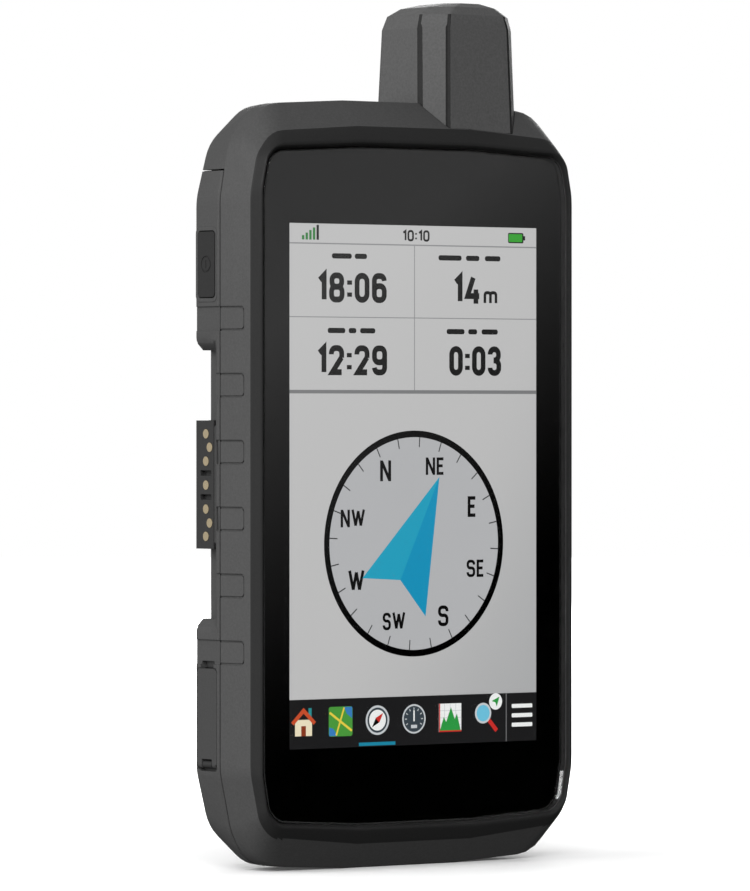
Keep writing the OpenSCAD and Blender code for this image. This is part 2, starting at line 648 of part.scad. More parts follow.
module battery_pack() color("#1c1d1f") {
    z = (bay_z[0] + bay_z[1]) / 2;
    difference() {
        panel(0, z, battery_w, battery_h, 1.6, y_bay + 0.3, y_bay + 0.3 + battery_t);
        for (i = [-1 : 1])
            translate([i * 6 - 1.5, y_bay, z + battery_h / 2 - 4]) cube([3, 0.9, 5]);
    }
}

module battery_contacts() color("#111213")
    block([-10, y_bay - 1, bay_z[1] - 4.4], [10, y_bay + 0.05, bay_z[1] - 0.6]);

module contact_blades() color("#e2c07a") for (i = [-1 : 1])
    block([i * 6 - 0.8, y_bay + 0.05, bay_z[1] - 3.6], [i * 6 + 0.8, y_bay + 0.6, bay_z[1] - 1.2]);

module battery_cover() color("#454646") {
    difference() {
        union() {
            panel(0, cover_mid, 2 * cover_hw, cover_h, 5, y_cover, y_back);
            for (z = latch_z) rod_y(0, z, 7.6, y_back - 4.95, y_cover, 48);
        }
        for (z = latch_z) {
            rod_y(0, z, latch_head_r + 0.3, y_back - 3.2, y_back + 1, 48);
            rod_y(0, z, latch_shank_r + 0.3, y_back - 8, y_back);
        }
        // finger grooves
        for (i = [-2 : 2]) panel(0, 67 + i * 5, 30, 1.4, 0.6, y_back - 0.4, y_back + 1);
    }
}

module cover_gasket() color("#1d1d1d") difference() {
    panel(0, cover_mid, 2 * cover_hw - 0.4, cover_h - 0.4, 4.8, y_cover - 0.4, y_cover);
    panel(0, cover_mid, 2 * cover_hw - 1.9, cover_h - 3, 4.4, y_cover - 2, y_back);
}

module latch(z) color("#8d9094") difference() {
    union() {
        rod_y(0, z, latch_head_r, y_back - 2.9, y_back - 0.05, 48);
        rod_y(0, z, latch_shank_r, y_back - 10.6, y_back - 2.8);
    }
    // dish for the ring, with a bridge left across it for its pivot
    difference() {
        rod_y(0, z, latch_head_r - 0.7, y_back - 2.05, y_back + 1, 48);
        block([-1.6, y_back - 3, z - 1.1], [1.6, y_back + 2, z + 1.1]);
    }
    rod_x(ring_y, z, ring_wire_r + 0.05, -2, 2);
}

module latch_clip(z) color("#6f7276") difference() {
    rod_y(0, z, 3, y_back - 5.75, y_back - 5.25);
    rod_y(0, z, latch_shank_r, y_back - 6, y_back - 4);
}

module d_ring(z) color("#b9bcc0") {
    translate([0, ring_y, z]) {
        rotate([90, 0, 0]) rotate([0, 0, 180]) rotate_extrude(angle = 180, $fn = 48)
            translate([ring_r, 0]) circle(ring_wire_r, $fn = 24);
        rotate([0, 90, 0]) cylinder(r = ring_wire_r, h = 2 * ring_r, center = true, $fn = 24);
        for (s = [-1, 1]) translate([s * ring_r, 0, 0]) sphere(ring_wire_r, $fn = 24);
    }
}

module latch_inserts() color("#b78a3f") for (z = latch_z)
    difference() {
        rod_y(0, z, 2.6, y_back - 11.1, y_back - 6.2);
        rod_y(0, z, latch_shank_r + 0.05, y_back - 12, y_back - 5);
    }

module card_socket() color("#c3c6c9") difference() {
    block([-22.5, y_bay - 3, 37], [-9.5, y_bay - 1.1, 50]);
    block([-21.6, y_bay - 2.6, 38], [-10.4, y_bay - 1.6, 51]);
}

module memory_card() color("#151618")
    block([-21.5, y_bay - 2.5, 38.1], [-10.5, y_bay - 1.75, 53.1]);

module lanyard_bar() color("#9da0a3") rod_x(lanyard_y, lanyard_z, lanyard_r, -9.8, 9.8);

front_housing();
rear_housing();
antenna_cover();
cover_glass();
glass_gasket();
display_panel();
backlight();
display_frame();
display_cable();
main_board();
board_chips();
shield_can();
speaker();
antenna_former();
antenna_helix();
antenna_cable();
housing_gasket();
screw_inserts();
housing_screws();
power_key();
key_seal();
power_switch();
contact_block();
contact_pins();
usb_port();
usb_cover();
usb_cover_anchor();
antenna_port();
antenna_port_cover();
antenna_port_pin();
battery_pack();
battery_contacts();
contact_blades();
battery_cover();
cover_gasket();
latch(latch_z[1]);  // latch_upper
latch(latch_z[0]);  // latch_lower
latch_clip(latch_z[1]);  // latch_clip_upper
latch_clip(latch_z[0]);  // latch_clip_lower
d_ring(latch_z[1]);  // d_ring_upper
d_ring(latch_z[0]);  // d_ring_lower
latch_inserts();
card_socket();
memory_card();
lanyard_bar();
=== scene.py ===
import json
import logging
import math
from dataclasses import dataclass, field
from enum import Enum

import bmesh
import bpy
from mathutils import Matrix, Vector


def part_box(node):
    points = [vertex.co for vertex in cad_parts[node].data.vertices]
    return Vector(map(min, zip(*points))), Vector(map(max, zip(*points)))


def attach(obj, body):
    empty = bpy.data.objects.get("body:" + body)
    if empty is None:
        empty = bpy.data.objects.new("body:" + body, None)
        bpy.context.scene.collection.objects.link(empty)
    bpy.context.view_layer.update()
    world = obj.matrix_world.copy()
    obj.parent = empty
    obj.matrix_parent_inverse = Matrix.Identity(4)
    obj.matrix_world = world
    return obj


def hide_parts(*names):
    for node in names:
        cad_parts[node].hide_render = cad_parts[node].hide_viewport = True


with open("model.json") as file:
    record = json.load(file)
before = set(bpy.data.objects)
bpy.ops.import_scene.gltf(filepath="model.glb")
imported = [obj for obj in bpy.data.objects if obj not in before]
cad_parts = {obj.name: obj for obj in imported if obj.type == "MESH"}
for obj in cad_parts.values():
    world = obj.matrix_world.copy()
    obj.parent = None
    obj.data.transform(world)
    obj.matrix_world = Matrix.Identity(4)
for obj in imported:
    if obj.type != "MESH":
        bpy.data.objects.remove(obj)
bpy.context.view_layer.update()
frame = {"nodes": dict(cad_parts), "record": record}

LOG = logging.getLogger("handheld")
MM = 0.001                          # metres in a millimetre
UPRIGHT = Matrix.Rotation(math.radians(90), 4, "X")   # lays an XY drawing on the XZ plane

Point = tuple[float, float]
Spot = tuple[float, float, float]   # a place or a direction in space
HANDLED_MM = 28     # size of the handling marks on mouldings
WIPED_MM = 14       # size of the uneven patches of the border's ink
DRIFT_MM = 30       # size of the patches in which the screen's inks are a little uneven
PAPER_MM = 3        # size of the fibres of the floor's paper


# ---- Small helpers ----------------------------------------------------------------------

def linear(hex_colour: str) -> tuple[float, float, float, float]:
    """Turn an sRGB hex colour into linear red, green, blue and alpha.

    Args:
        hex_colour: a colour such as "#4a4b4c".

    Returns:
        The four linear channels, with alpha 1.
    """
    parts = [int(hex_colour[i:i + 2], 16) / 255 for i in (1, 3, 5)]
    red, green, blue = (v / 12.92 if v <= 0.04045 else ((v + 0.055) / 1.055) ** 2.4 for v in parts)
    return red, green, blue, 1.0


def add_node(
    tree: bpy.types.NodeTree,
    kind: str,
    settings: dict | None = None,
    values: dict | None = None,
    links: dict | None = None,
) -> bpy.types.Node:
    """Add a node with its settings, constants and links.

    Args:
        tree: the node tree it goes into.
        kind: the node's type, such as "ShaderNodeBump".
        settings: attributes of the node.
        values: constants by input name or number.
        links: output sockets by input name or number.

    Returns:
        The new node.
    """
    node = tree.nodes.new(kind)
    for key, value in (settings or {}).items():
        setattr(node, key, value)
    for key, value in (values or {}).items():
        node.inputs[key].default_value = value
    for key, source in (links or {}).items():
        tree.links.new(source, node.inputs[key])
    return node


def blank_tree(name: str) -> tuple[bpy.types.Material, bpy.types.NodeTree]:
    """Make a material with an empty node tree and return both."""
    material = bpy.data.materials.new(name)
    material.use_nodes = True
    material.node_tree.nodes.clear()
    return material, material.node_tree


def size_of(length_mm: float) -> float:
    """Texture scale on Object coordinates for features of this length."""
    return 1 / (length_mm * MM)


def lit_surface(tree: bpy.types.NodeTree, colour: bpy.types.NodeSocket) -> None:
    """End a tree in a surface that glows in a colour and hardly reflects."""
    shader = add_node(tree, "ShaderNodeBsdfPrincipled", values={
        "Base Color": linear("#050505"), "Roughness": 0.6, "Specular IOR Level": 0.0,
        "Emission Strength": 1.0}, links={"Emission Color": colour})
    add_node(tree, "ShaderNodeOutputMaterial", links={"Surface": shader.outputs[0]})


# ---- Finishes ---------------------------------------------------------------------------

@dataclass(frozen=True)
class MouldedFinish:
    """Plastic or rubber straight from the mould, with a fine spark-eroded grain.

    Attributes:
        name: name of the material.
        colour: body colour.
        grain_mm: size of a grain of the texture.
        depth_mm: height of the grain.
        roughness: middle roughness of the surface.
        specular: Principled specular level.
        edge_mm: radius to which light catches on edges.
        contrast: how far the grain lightens and darkens the colour.
    """

    name: str
    colour: str
    grain_mm: float = 0.45
    depth_mm: float = 0.02
    roughness: float = 0.55
    specular: float = 0.5
    edge_mm: float = 0.25
    contrast: float = 0.12

    def build(self) -> bpy.types.Material:
        """Make the material: grain in colour, roughness and bump, and handling marks on top."""
        material, tree = blank_tree(self.name)
        place = add_node(tree, "ShaderNodeTexCoord").outputs["Object"]
        grain = add_node(tree, "ShaderNodeTexNoise", values={
            "Scale": size_of(self.grain_mm), "Detail": 2.0, "Roughness": 0.6}, links={"Vector": place})
        smudge = add_node(tree, "ShaderNodeTexNoise", values={
            "Scale": size_of(HANDLED_MM), "Detail": 3.0, "Roughness": 0.55}, links={"Vector": place})
        shade = add_node(tree, "ShaderNodeMapRange", values={
            "From Min": 0.3, "From Max": 0.7, "To Min": 1 - self.contrast,
            "To Max": 1 + self.contrast}, links={"Value": grain.outputs[0]})
        tint = add_node(tree, "ShaderNodeMix", {"data_type": "RGBA", "blend_type": "MULTIPLY"},
                        {0: 1.0, 6: linear(self.colour)}, {7: shade.outputs[0]})
        rough = add_node(tree, "ShaderNodeMapRange", values={
            "From Min": 0.3, "From Max": 0.7, "To Min": self.roughness - 0.06,
            "To Max": self.roughness + 0.06}, links={"Value": smudge.outputs[0]})
        soft_edge = add_node(tree, "ShaderNodeBevel", {"samples": 4}, {"Radius": self.edge_mm * MM})
        relief = add_node(tree, "ShaderNodeBump", values={
            "Strength": 0.5, "Distance": self.depth_mm * MM},
            links={"Height": grain.outputs[0], "Normal": soft_edge.outputs[0]})
        shader = add_node(tree, "ShaderNodeBsdfPrincipled", values={
            "Specular IOR Level": self.specular, "IOR": 1.5}, links={
            "Base Color": tint.outputs[2], "Roughness": rough.outputs[0],
            "Normal": relief.outputs[0]})
        add_node(tree, "ShaderNodeOutputMaterial", links={"Surface": shader.outputs[0]})
        return material


@dataclass(frozen=True)
class MetalFinish:
    """Metal with fine working marks along one axis.

    Attributes:
        name: name of the material.
        colour: colour of the bare metal.
        roughness: middle roughness.
        mark_mm: spacing of the marks.
        along: stretch of the marks along X, Y and Z.
    """

    name: str
    colour: str
    roughness: float = 0.3
    mark_mm: float = 0.3
    along: tuple[float, float, float] = (1.0, 1.0, 1.0)

    def build(self) -> bpy.types.Material:
        """Make the material, with marks in its roughness, bump and colour."""
        material, tree = blank_tree(self.name)
        place = add_node(tree, "ShaderNodeTexCoord").outputs["Object"]
        spread = add_node(tree, "ShaderNodeMapping", values={"Scale": self.along}, links={"Vector": place})
        marks = add_node(tree, "ShaderNodeTexNoise", values={
            "Scale": size_of(self.mark_mm), "Detail": 3.0}, links={"Vector": spread.outputs[0]})
        tint = add_node(tree, "ShaderNodeMix", {"data_type": "RGBA"}, {
            6: tuple(0.82 * c for c in linear(self.colour)[:3]) + (1.0,), 7: linear(self.colour)},
            {0: marks.outputs[0]})
        rough = add_node(tree, "ShaderNodeMapRange", values={
            "To Min": self.roughness * 0.75, "To Max": self.roughness * 1.3},
            links={"Value": marks.outputs[0]})
        relief = add_node(tree, "ShaderNodeBump", values={"Strength": 0.25, "Distance": 0.01 * MM},
                          links={"Height": marks.outputs[0]})
        shader = add_node(tree, "ShaderNodeBsdfPrincipled", values={"Metallic": 1.0}, links={
            "Base Color": tint.outputs[2], "Roughness": rough.outputs[0],
            "Normal": relief.outputs[0]})
        add_node(tree, "ShaderNodeOutputMaterial", links={"Surface": shader.outputs[0]})
        return material


@dataclass(frozen=True)
class LayeredFinish:
    """Sheet material with a weave or a printed pattern, such as laminate, foam or film.

    Attributes:
        name: name of the material.
        ground: colour of the ground.
        figure: colour of the pattern.
        cell_mm: size of a cell of the pattern.
        roughness: roughness of the sheet.
        share: how much of the surface the pattern takes, from 0 to 1.
        metallic: metallic of the whole sheet.
    """

    name: str
    ground: str
    figure: str
    cell_mm: float = 2.0
    roughness: float = 0.5
    share: float = 0.4
    metallic: float = 0.0

    def build(self) -> bpy.types.Material:
        """Make the material from square cells with softly toothed edges."""
        material, tree = blank_tree(self.name)
        place = add_node(tree, "ShaderNodeTexCoord").outputs["Object"]
        cells = add_node(tree, "ShaderNodeTexVoronoi", {"distance": "CHEBYCHEV"}, {
            "Scale": size_of(self.cell_mm), "Randomness": 0.7}, {"Vector": place})
        figure = add_node(tree, "ShaderNodeMapRange", values={
            "From Min": self.share - 0.03, "From Max": self.share + 0.03},
            links={"Value": cells.outputs["Distance"]})
        tint = add_node(tree, "ShaderNodeMix", {"data_type": "RGBA"}, {
            6: linear(self.figure), 7: linear(self.ground)}, {0: figure.outputs[0]})
        relief = add_node(tree, "ShaderNodeBump", values={"Strength": 0.3, "Distance": 0.02 * MM},
                          links={"Height": figure.outputs[0]})
        shader = add_node(tree, "ShaderNodeBsdfPrincipled", values={
            "Metallic": self.metallic, "Roughness": self.roughness}, links={
            "Base Color": tint.outputs[2], "Normal": relief.outputs[0]})
        add_node(tree, "ShaderNodeOutputMaterial", links={"Surface": shader.outputs[0]})
        return material


@dataclass(frozen=True)
class GlassFinish:
    """Polished cover glass, or the ink printed on its back.

    Attributes:
        name: name of the material.
        tint: colour of the glass or of the ink.
        specular: Principled specular level.
        transmission: share of the light that passes through.
        smoothest: lowest roughness.
        roughest: highest roughness.
    """

    name: str
    tint: str
    specular: float
    transmission: float
    smoothest: float
    roughest: float

    def build(self) -> bpy.types.Material:
        """Make the material, with patches in its roughness where the two limits differ."""
        material, tree = blank_tree(self.name)
        links = {}
        if self.roughest > self.smoothest:
            place = add_node(tree, "ShaderNodeTexCoord").outputs["Object"]
            wiped = add_node(tree, "ShaderNodeTexNoise", values={
                "Scale": size_of(WIPED_MM), "Detail": 4.0}, links={"Vector": place})
            rough = add_node(tree, "ShaderNodeMapRange", values={
                "To Min": self.smoothest, "To Max": self.roughest}, links={"Value": wiped.outputs[0]})
            links["Roughness"] = rough.outputs[0]
        shader = add_node(tree, "ShaderNodeBsdfPrincipled", values={
            "Base Color": linear(self.tint), "IOR": 1.5, "Specular IOR Level": self.specular,
            "Transmission Weight": self.transmission, "Roughness": self.smoothest}, links=links)
        add_node(tree, "ShaderNodeOutputMaterial", links={"Surface": shader.outputs[0]})
        return material


class Ink(Enum):
    """Colours that the screen lights up in."""

    PRINT = "#0a0a0a"
    LINE = "#8f9091"
    RULE = "#7c7d7e"
    DISC = "#b6b7b9"
    RING = "#000000"
    TICK = "#3c3d3e"
    BAND = "#1e1e1f"
    DIVIDER = "#6d6e6f"
    WHITE = "#f2f4f3"
    ARROW_LIGHT = "#26a0bf"
    ARROW_DARK = "#1992bb"
    SIGNAL = "#2f7d3c"
    BATTERY = "#33a02e"
    ROOF = "#c8502e"
    WALL = "#efe4c4"
    DOOR = "#8a3b22"
    CHIMNEY = "#2f8f93"
    FIELD = "#4c9a3f"
    WATER = "#3b7fc0"
    ROAD = "#e9cf4a"
    NEEDLE = "#c8312c"
    METAL = "#c9ced1"
    SLATE = "#3a444b"
    PEAK = "#2f9a45"
    LENS = "#6fc3df"
    TEAL = "#1f86a3"


@dataclass(frozen=True)
class ScreenInk:
    """Lit picture elements of the display: they glow, and the room hardly lights them."""

    ink: Ink

    def build(self) -> bpy.types.Material:
        """Make the material, with the small unevenness of a light guide behind it."""
        material, tree = blank_tree(f"lcd_{self.ink.name.lower()}")
        place = add_node(tree, "ShaderNodeTexCoord").outputs["Object"]
        uneven = add_node(tree, "ShaderNodeTexNoise", values={"Scale": size_of(DRIFT_MM)},
                          links={"Vector": place})
        level = add_node(tree, "ShaderNodeMapRange", values={"To Min": 0.97, "To Max": 1.03},
                         links={"Value": uneven.outputs[0]})
        glow = add_node(tree, "ShaderNodeMix", {"data_type": "RGBA", "blend_type": "MULTIPLY"},
                        {0: 1.0, 6: linear(self.ink.value)}, {7: level.outputs[0]})
        lit_surface(tree, glow.outputs[2])
        return material


@dataclass(frozen=True)
class BacklitWithPaintedFalloff:
    """The picture's pale ground: a lit display, with painted light that falls off towards its lower right
    corner.

    Attributes:
        bright: colour at the upper left.
        dim: colour at the lower right.
        slope: how fast the light falls to the right, against how fast it falls downwards.
        dim_at: height above the base in mm, at the middle of the width, where it is fully dim.
        bright_at: the same for fully bright.
    """

    bright: str = "#c2c2c2"
    dim: str = "#aeafb0"
    slope: float = 1.4
    dim_at: float = -20
    bright_at: float = 75

    def build(self) -> bpy.types.Material:
        """Make the material, whose painted light falls from the upper left to the lower right."""
        material, tree = blank_tree("lcd_ground")
        place = add_node(tree, "ShaderNodeTexCoord").outputs["Object"]
        axes = add_node(tree, "ShaderNodeSeparateXYZ", links={0: place})
        slant = add_node(tree, "ShaderNodeMath", {"operation": "MULTIPLY_ADD"}, {1: -self.slope},
                         {0: axes.outputs[0], 2: axes.outputs[2]})
        # painted light: the glow falls off from the upper left to the lower right
        fall = add_node(tree, "ShaderNodeMapRange", {"interpolation_type": "SMOOTHSTEP"}, {
            "From Min": self.dim_at * MM, "From Max": self.bright_at * MM}, {"Value": slant.outputs[0]})
        glow = add_node(tree, "ShaderNodeMix", {"data_type": "RGBA"}, {
            6: linear(self.dim), 7: linear(self.bright)}, {0: fall.outputs[0]})
        lit_surface(tree, glow.outputs[2])
        return material


Finish = MouldedFinish | MetalFinish | LayeredFinish | GlassFinish | ScreenInk | BacklitWithPaintedFalloff

# The housings: dark grey with a satin grain.
HOUSING = MouldedFinish("glass_filled_nylon", "#3a3a3a", roughness=0.55, specular=0.22)
# The lip round the glass: darker and smoother than the rest of the housing.
LIP = MouldedFinish("smooth_moulded_nylon", "#1e1e1e", grain_mm=0.3, depth_mm=0.008, roughness=0.5,
                    specular=0.14)
# The aerial's cover: a little lighter and coarser than the housings.
AERIAL = MouldedFinish("nylon_aerial_cover", "#484848", grain_mm=0.5, depth_mm=0.03, roughness=0.6,
                       specular=0.15)
# The grooves down the aerial's front corners: the same grain in a darker tone, as painted shade in the
# grooves.
AERIAL_GROOVE_SHADE = MouldedFinish("nylon_with_painted_groove_shade", "#242424", grain_mm=0.5, depth_mm=0.03, roughness=0.6,
                              specular=0.08)
# Rubbers and smaller plastic parts.
KEY_RUBBER = MouldedFinish("silicone_key", "#232323", grain_mm=0.3, roughness=0.65, specular=0.15)
CAP_RUBBER = MouldedFinish("elastomer_port_cap", "#353535", grain_mm=0.35, roughness=0.62, specular=0.2)
# The seal rubber also makes the black strips of painted shade in the side seams.
SEAL_RUBBER_AND_SEAM_SHADE = MouldedFinish("silicone_seal_and_seam_shade", "#0c0c0c", grain_mm=0.4, roughness=0.8, specular=0.1,
                            contrast=0.06)
DOCK_PLASTIC = MouldedFinish("liquid_crystal_polymer", "#262626", grain_mm=0.25, roughness=0.55, specular=0.2)
BATTERY_WRAP = MouldedFinish("battery_shrink_sleeve", "#2f3a44", grain_mm=0.6, depth_mm=0.01, roughness=0.35)
EPOXY = MouldedFinish("moulding_epoxy", "#1f2022", grain_mm=0.3, roughness=0.6)
CABLE_JACKET = MouldedFinish("cable_jacket", "#18191a", grain_mm=0.3, roughness=0.45)
# Castings and ceramics: a coarser grain.
MAGNESIUM = MouldedFinish("die_cast_magnesium", "#8c8f91", grain_mm=0.8, depth_mm=0.05, roughness=0.45)
CERAMIC = MouldedFinish("fired_ceramic", "#d8d2c2", grain_mm=0.5, roughness=0.5)
# Metals.
GOLD = MetalFinish("gold_plated_contact", "#ecd9b4", roughness=0.22, mark_mm=0.2)
STEEL = MetalFinish("stainless_steel", "#b9bbbd", roughness=0.32, along=(1, 1, 8))
RING_STEEL = MetalFinish("polished_steel_wire", "#c4c6c8", roughness=0.2, along=(1, 8, 8))
BLACK_STEEL = MetalFinish("black_oxide_steel", "#3b3b3d", roughness=0.4)
TIN = MetalFinish("tinned_steel", "#b4b6b6", roughness=0.35, along=(1, 1, 6))
BRASS = MetalFinish("turned_brass", "#c9a24c", roughness=0.3)
COPPER = MetalFinish("copper_foil", "#c77e56", roughness=0.28)
# Foam, films and laminate, each in two tones.
FOAM = LayeredFinish("closed_cell_foam", "#161617", "#0e0e0f", cell_mm=0.5, roughness=0.9)
DISPLAY_FILM = LayeredFinish("display_film", "#1a1b1d", "#15161a", cell_mm=3, roughness=0.3)
LIGHT_GUIDE = LayeredFinish("light_guide", "#e4e6e4", "#d6d9d8", cell_mm=1.2, roughness=0.35)
FLEX_FILM = LayeredFinish("polyimide_flex", "#b0702a", "#8a5520", cell_mm=1.5, roughness=0.35)
LAMINATE = LayeredFinish("epoxy_glass_laminate", "#14532e", "#2c7a43", cell_mm=3.2, roughness=0.4)
# The cover glass over the picture, and the matt black ink printed on its back.
CLEAR_GLASS = GlassFinish("clear_cover_glass", "#ffffff", specular=0.5, transmission=1.0,
                          smoothest=0.0, roughest=0.0)
BLACK_PRINT = GlassFinish("black_glass_print", "#020202", specular=0.0, transmission=0.0,
                          smoothest=0.5, roughest=0.7)

FINISH_OF_SLOT = {
    "housing_plastic": HOUSING, "antenna_plastic": AERIAL, "black_foam": FOAM,
    "display_film": DISPLAY_FILM, "light_guide": LIGHT_GUIDE, "magnesium_frame": MAGNESIUM,
    "flex_film": FLEX_FILM, "board_laminate": LAMINATE, "chip_epoxy": EPOXY, "tinned_steel": TIN,
    "ceramic": CERAMIC, "copper_foil": COPPER, "lead_jacket": CABLE_JACKET,
    "seal_rubber": SEAL_RUBBER_AND_SEAM_SHADE, "brass_insert": BRASS, "black_steel": BLACK_STEEL,
    "key_rubber": KEY_RUBBER, "dock_plastic": DOCK_PLASTIC, "gold_contact": GOLD,
    "cap_rubber": CAP_RUBBER, "battery_wrap": BATTERY_WRAP, "latch_steel": STEEL,
    "ring_steel": RING_STEEL,
}


# Strokes of the characters, in a cell as high as 1: the cell's width, then for each stroke whether
# it closes, the radius of its bends, and its points across and up the cell.
GLYPHS: dict[str, tuple[float, tuple]] = {
    "0": (0.58, ((True, 0.2, ((0, 0), (1, 0), (1, 1), (0, 1))),)),
    "1": (0.36, ((False, 0, ((0, 0.8), (1, 1), (1, 0))),)),
    "2": (0.58, ((False, 0.17, ((0, 0.74), (0, 1), (1, 1), (1, 0.6))),
                 (False, 0, ((0.99, 0.62), (0.1, 0), (1, 0))))),
    "3": (0.58, ((False, 0.17, ((0, 0.78), (0, 1), (0.96, 1), (0.96, 0.53), (0.4, 0.53))),
                 (False, 0.17, ((0.4, 0.53), (1, 0.53), (1, 0), (0, 0), (0, 0.22))))),
    "4": (0.66, ((False, 0, ((0.5, 1), (0.02, 0.22), (1, 0.22))), (False, 0, ((0.72, 0.5), (0.72, -0.1))))),
    "6": (0.58, ((True, 0.17, ((0, 0), (1, 0), (1, 0.58), (0, 0.58))),
                 (False, 0.17, ((0, 0.3), (0, 1), (1, 1), (1, 0.8))))),
    "8": (0.6, ((True, 0.16, ((0, 0), (1, 0), (1, 0.53), (0, 0.53))),
                (True, 0.16, ((0.04, 0.53), (0.96, 0.53), (0.96, 1), (0.04, 1))))),
    "9": (0.58, ((True, 0.17, ((0, 0.42), (1, 0.42), (1, 1), (0, 1))),
                 (False, 0.17, ((1, 0.7), (1, 0), (0, 0), (0, 0.2))))),
    ":": (0.2, ((False, 0, ((0.5, 0.12), (0.5, 0.3))), (False, 0, ((0.5, 0.62), (0.5, 0.8))))),
    "m": (1.05, ((False, 0.2, ((0, -0.1), (0, 1), (0.5, 1), (0.5, -0.1))),
                 (False, 0.2, ((0.5, 0.5), (0.5, 1), (1, 1), (1, -0.1))))),
    "N": (0.62, ((False, 0, ((0, -0.1), (0, 1.1))), (False, 0, ((0.04, 1.02), (0.96, -0.02))),
                 (False, 0, ((1, -0.1), (1, 1.1))))),
    "E": (0.5, ((False, 0, ((1.1, 1), (0, 1), (0, 0), (1.1, 0))), (False, 0, ((0, 0.52), (0.95, 0.52))))),
    "S": (0.58, ((False, 0.17, ((1, 0.76), (1, 1), (0, 1), (0, 0.53), (1, 0.53), (1, 0), (0, 0),
                                (0, 0.24))),)),
    "W": (0.92, ((False, 0, ((0, 1.1), (0.27, 0))), (False, 0, ((0.27, 0), (0.5, 1))),
                 (False, 0, ((0.5, 1), (0.73, 0))), (False, 0, ((0.73, 0), (1, 1.1))))),
}


class Workshop:
    """Makes finished pieces out of bmeshes and keeps one material for each finish."""

    def __init__(self) -> None:
        """Start with no materials."""
        self._materials: dict[Finish, bpy.types.Material] = {}

    def material(self, finish: Finish) -> bpy.types.Material:
        """Return the finish's material, making it the first time."""
        if finish not in self._materials:
            self._materials[finish] = finish.build()
        return self._materials[finish]

    def dress(self, node: str, finish: Finish) -> None:
        """Give a CAD node its finish through its object's material slots."""
        for holder in frame["nodes"][node].material_slots:
            holder.link = "OBJECT"
            holder.material = self.material(finish)
        LOG.info("dressed %s in %s", node, finish.name)

    def piece(
        self,
        shape: bmesh.types.BMesh,
        name: str,
        finish: Finish,
        body: str = "root",
        slot: str = "",
        stands_for: tuple[str, ...] = (),
        smooth_deg: float = 35,
    ) -> bpy.types.Object:
        """Turn a bmesh into a finished piece that rides on a body.

        Args:
            shape: the closed mesh in metres, which is freed.
            name: name of the piece.
            finish: its finish.
            body: the CAD body that it rides on.
            slot: the record's material slot, if it has one; not used.
            stands_for: CAD nodes that it replaces.
            smooth_deg: faces that meet at less than this are shaded as one.

        Returns:
            The new object.
        """
        bmesh.ops.recalc_face_normals(shape, faces=shape.faces[:])
        mesh = bpy.data.meshes.new(name)
        shape.to_mesh(mesh)
        shape.free()
        mesh.polygons.foreach_set("use_smooth", [True] * len(mesh.polygons))
        mesh.set_sharp_from_angle(angle=math.radians(smooth_deg))
        mesh.materials.append(self.material(finish))
        made = bpy.data.objects.new(name, mesh)
        bpy.context.scene.collection.objects.link(made)
        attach(made, body)
        if stands_for:
            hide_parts(*stands_for)
        LOG.info("made %s: %d faces on %s", name, len(mesh.polygons), body)
        return made


# ---- Shapes -----------------------------------------------------------------------------

def merged_copy(node: str) -> bmesh.types.BMesh:
    """Return a copy of a CAD node's mesh with its loose triangles merged into flat faces."""
    shape = bmesh.new()
    shape.from_mesh(frame["nodes"][node].data)
    bmesh.ops.remove_doubles(shape, verts=shape.verts[:], dist=0.001 * MM)
    bmesh.ops.dissolve_limit(shape, angle_limit=math.radians(0.3), verts=shape.verts[:],
                             edges=shape.edges[:])
    return shape


def shift_extrusion(shape: bmesh.types.BMesh, grown: list, way: Spot) -> None:
    """Move the vertices that an extrusion made."""
    verts = [item for item in grown if isinstance(item, bmesh.types.BMVert)]
    bmesh.ops.translate(shape, vec=way, verts=verts)


class Depth(Enum):
    """Order of the picture's elements in front of the panel, back to front."""

    GROUND = 1
    UNDER = 2
    MIDDLE = 3
    OVER = 4
    TOP = 5


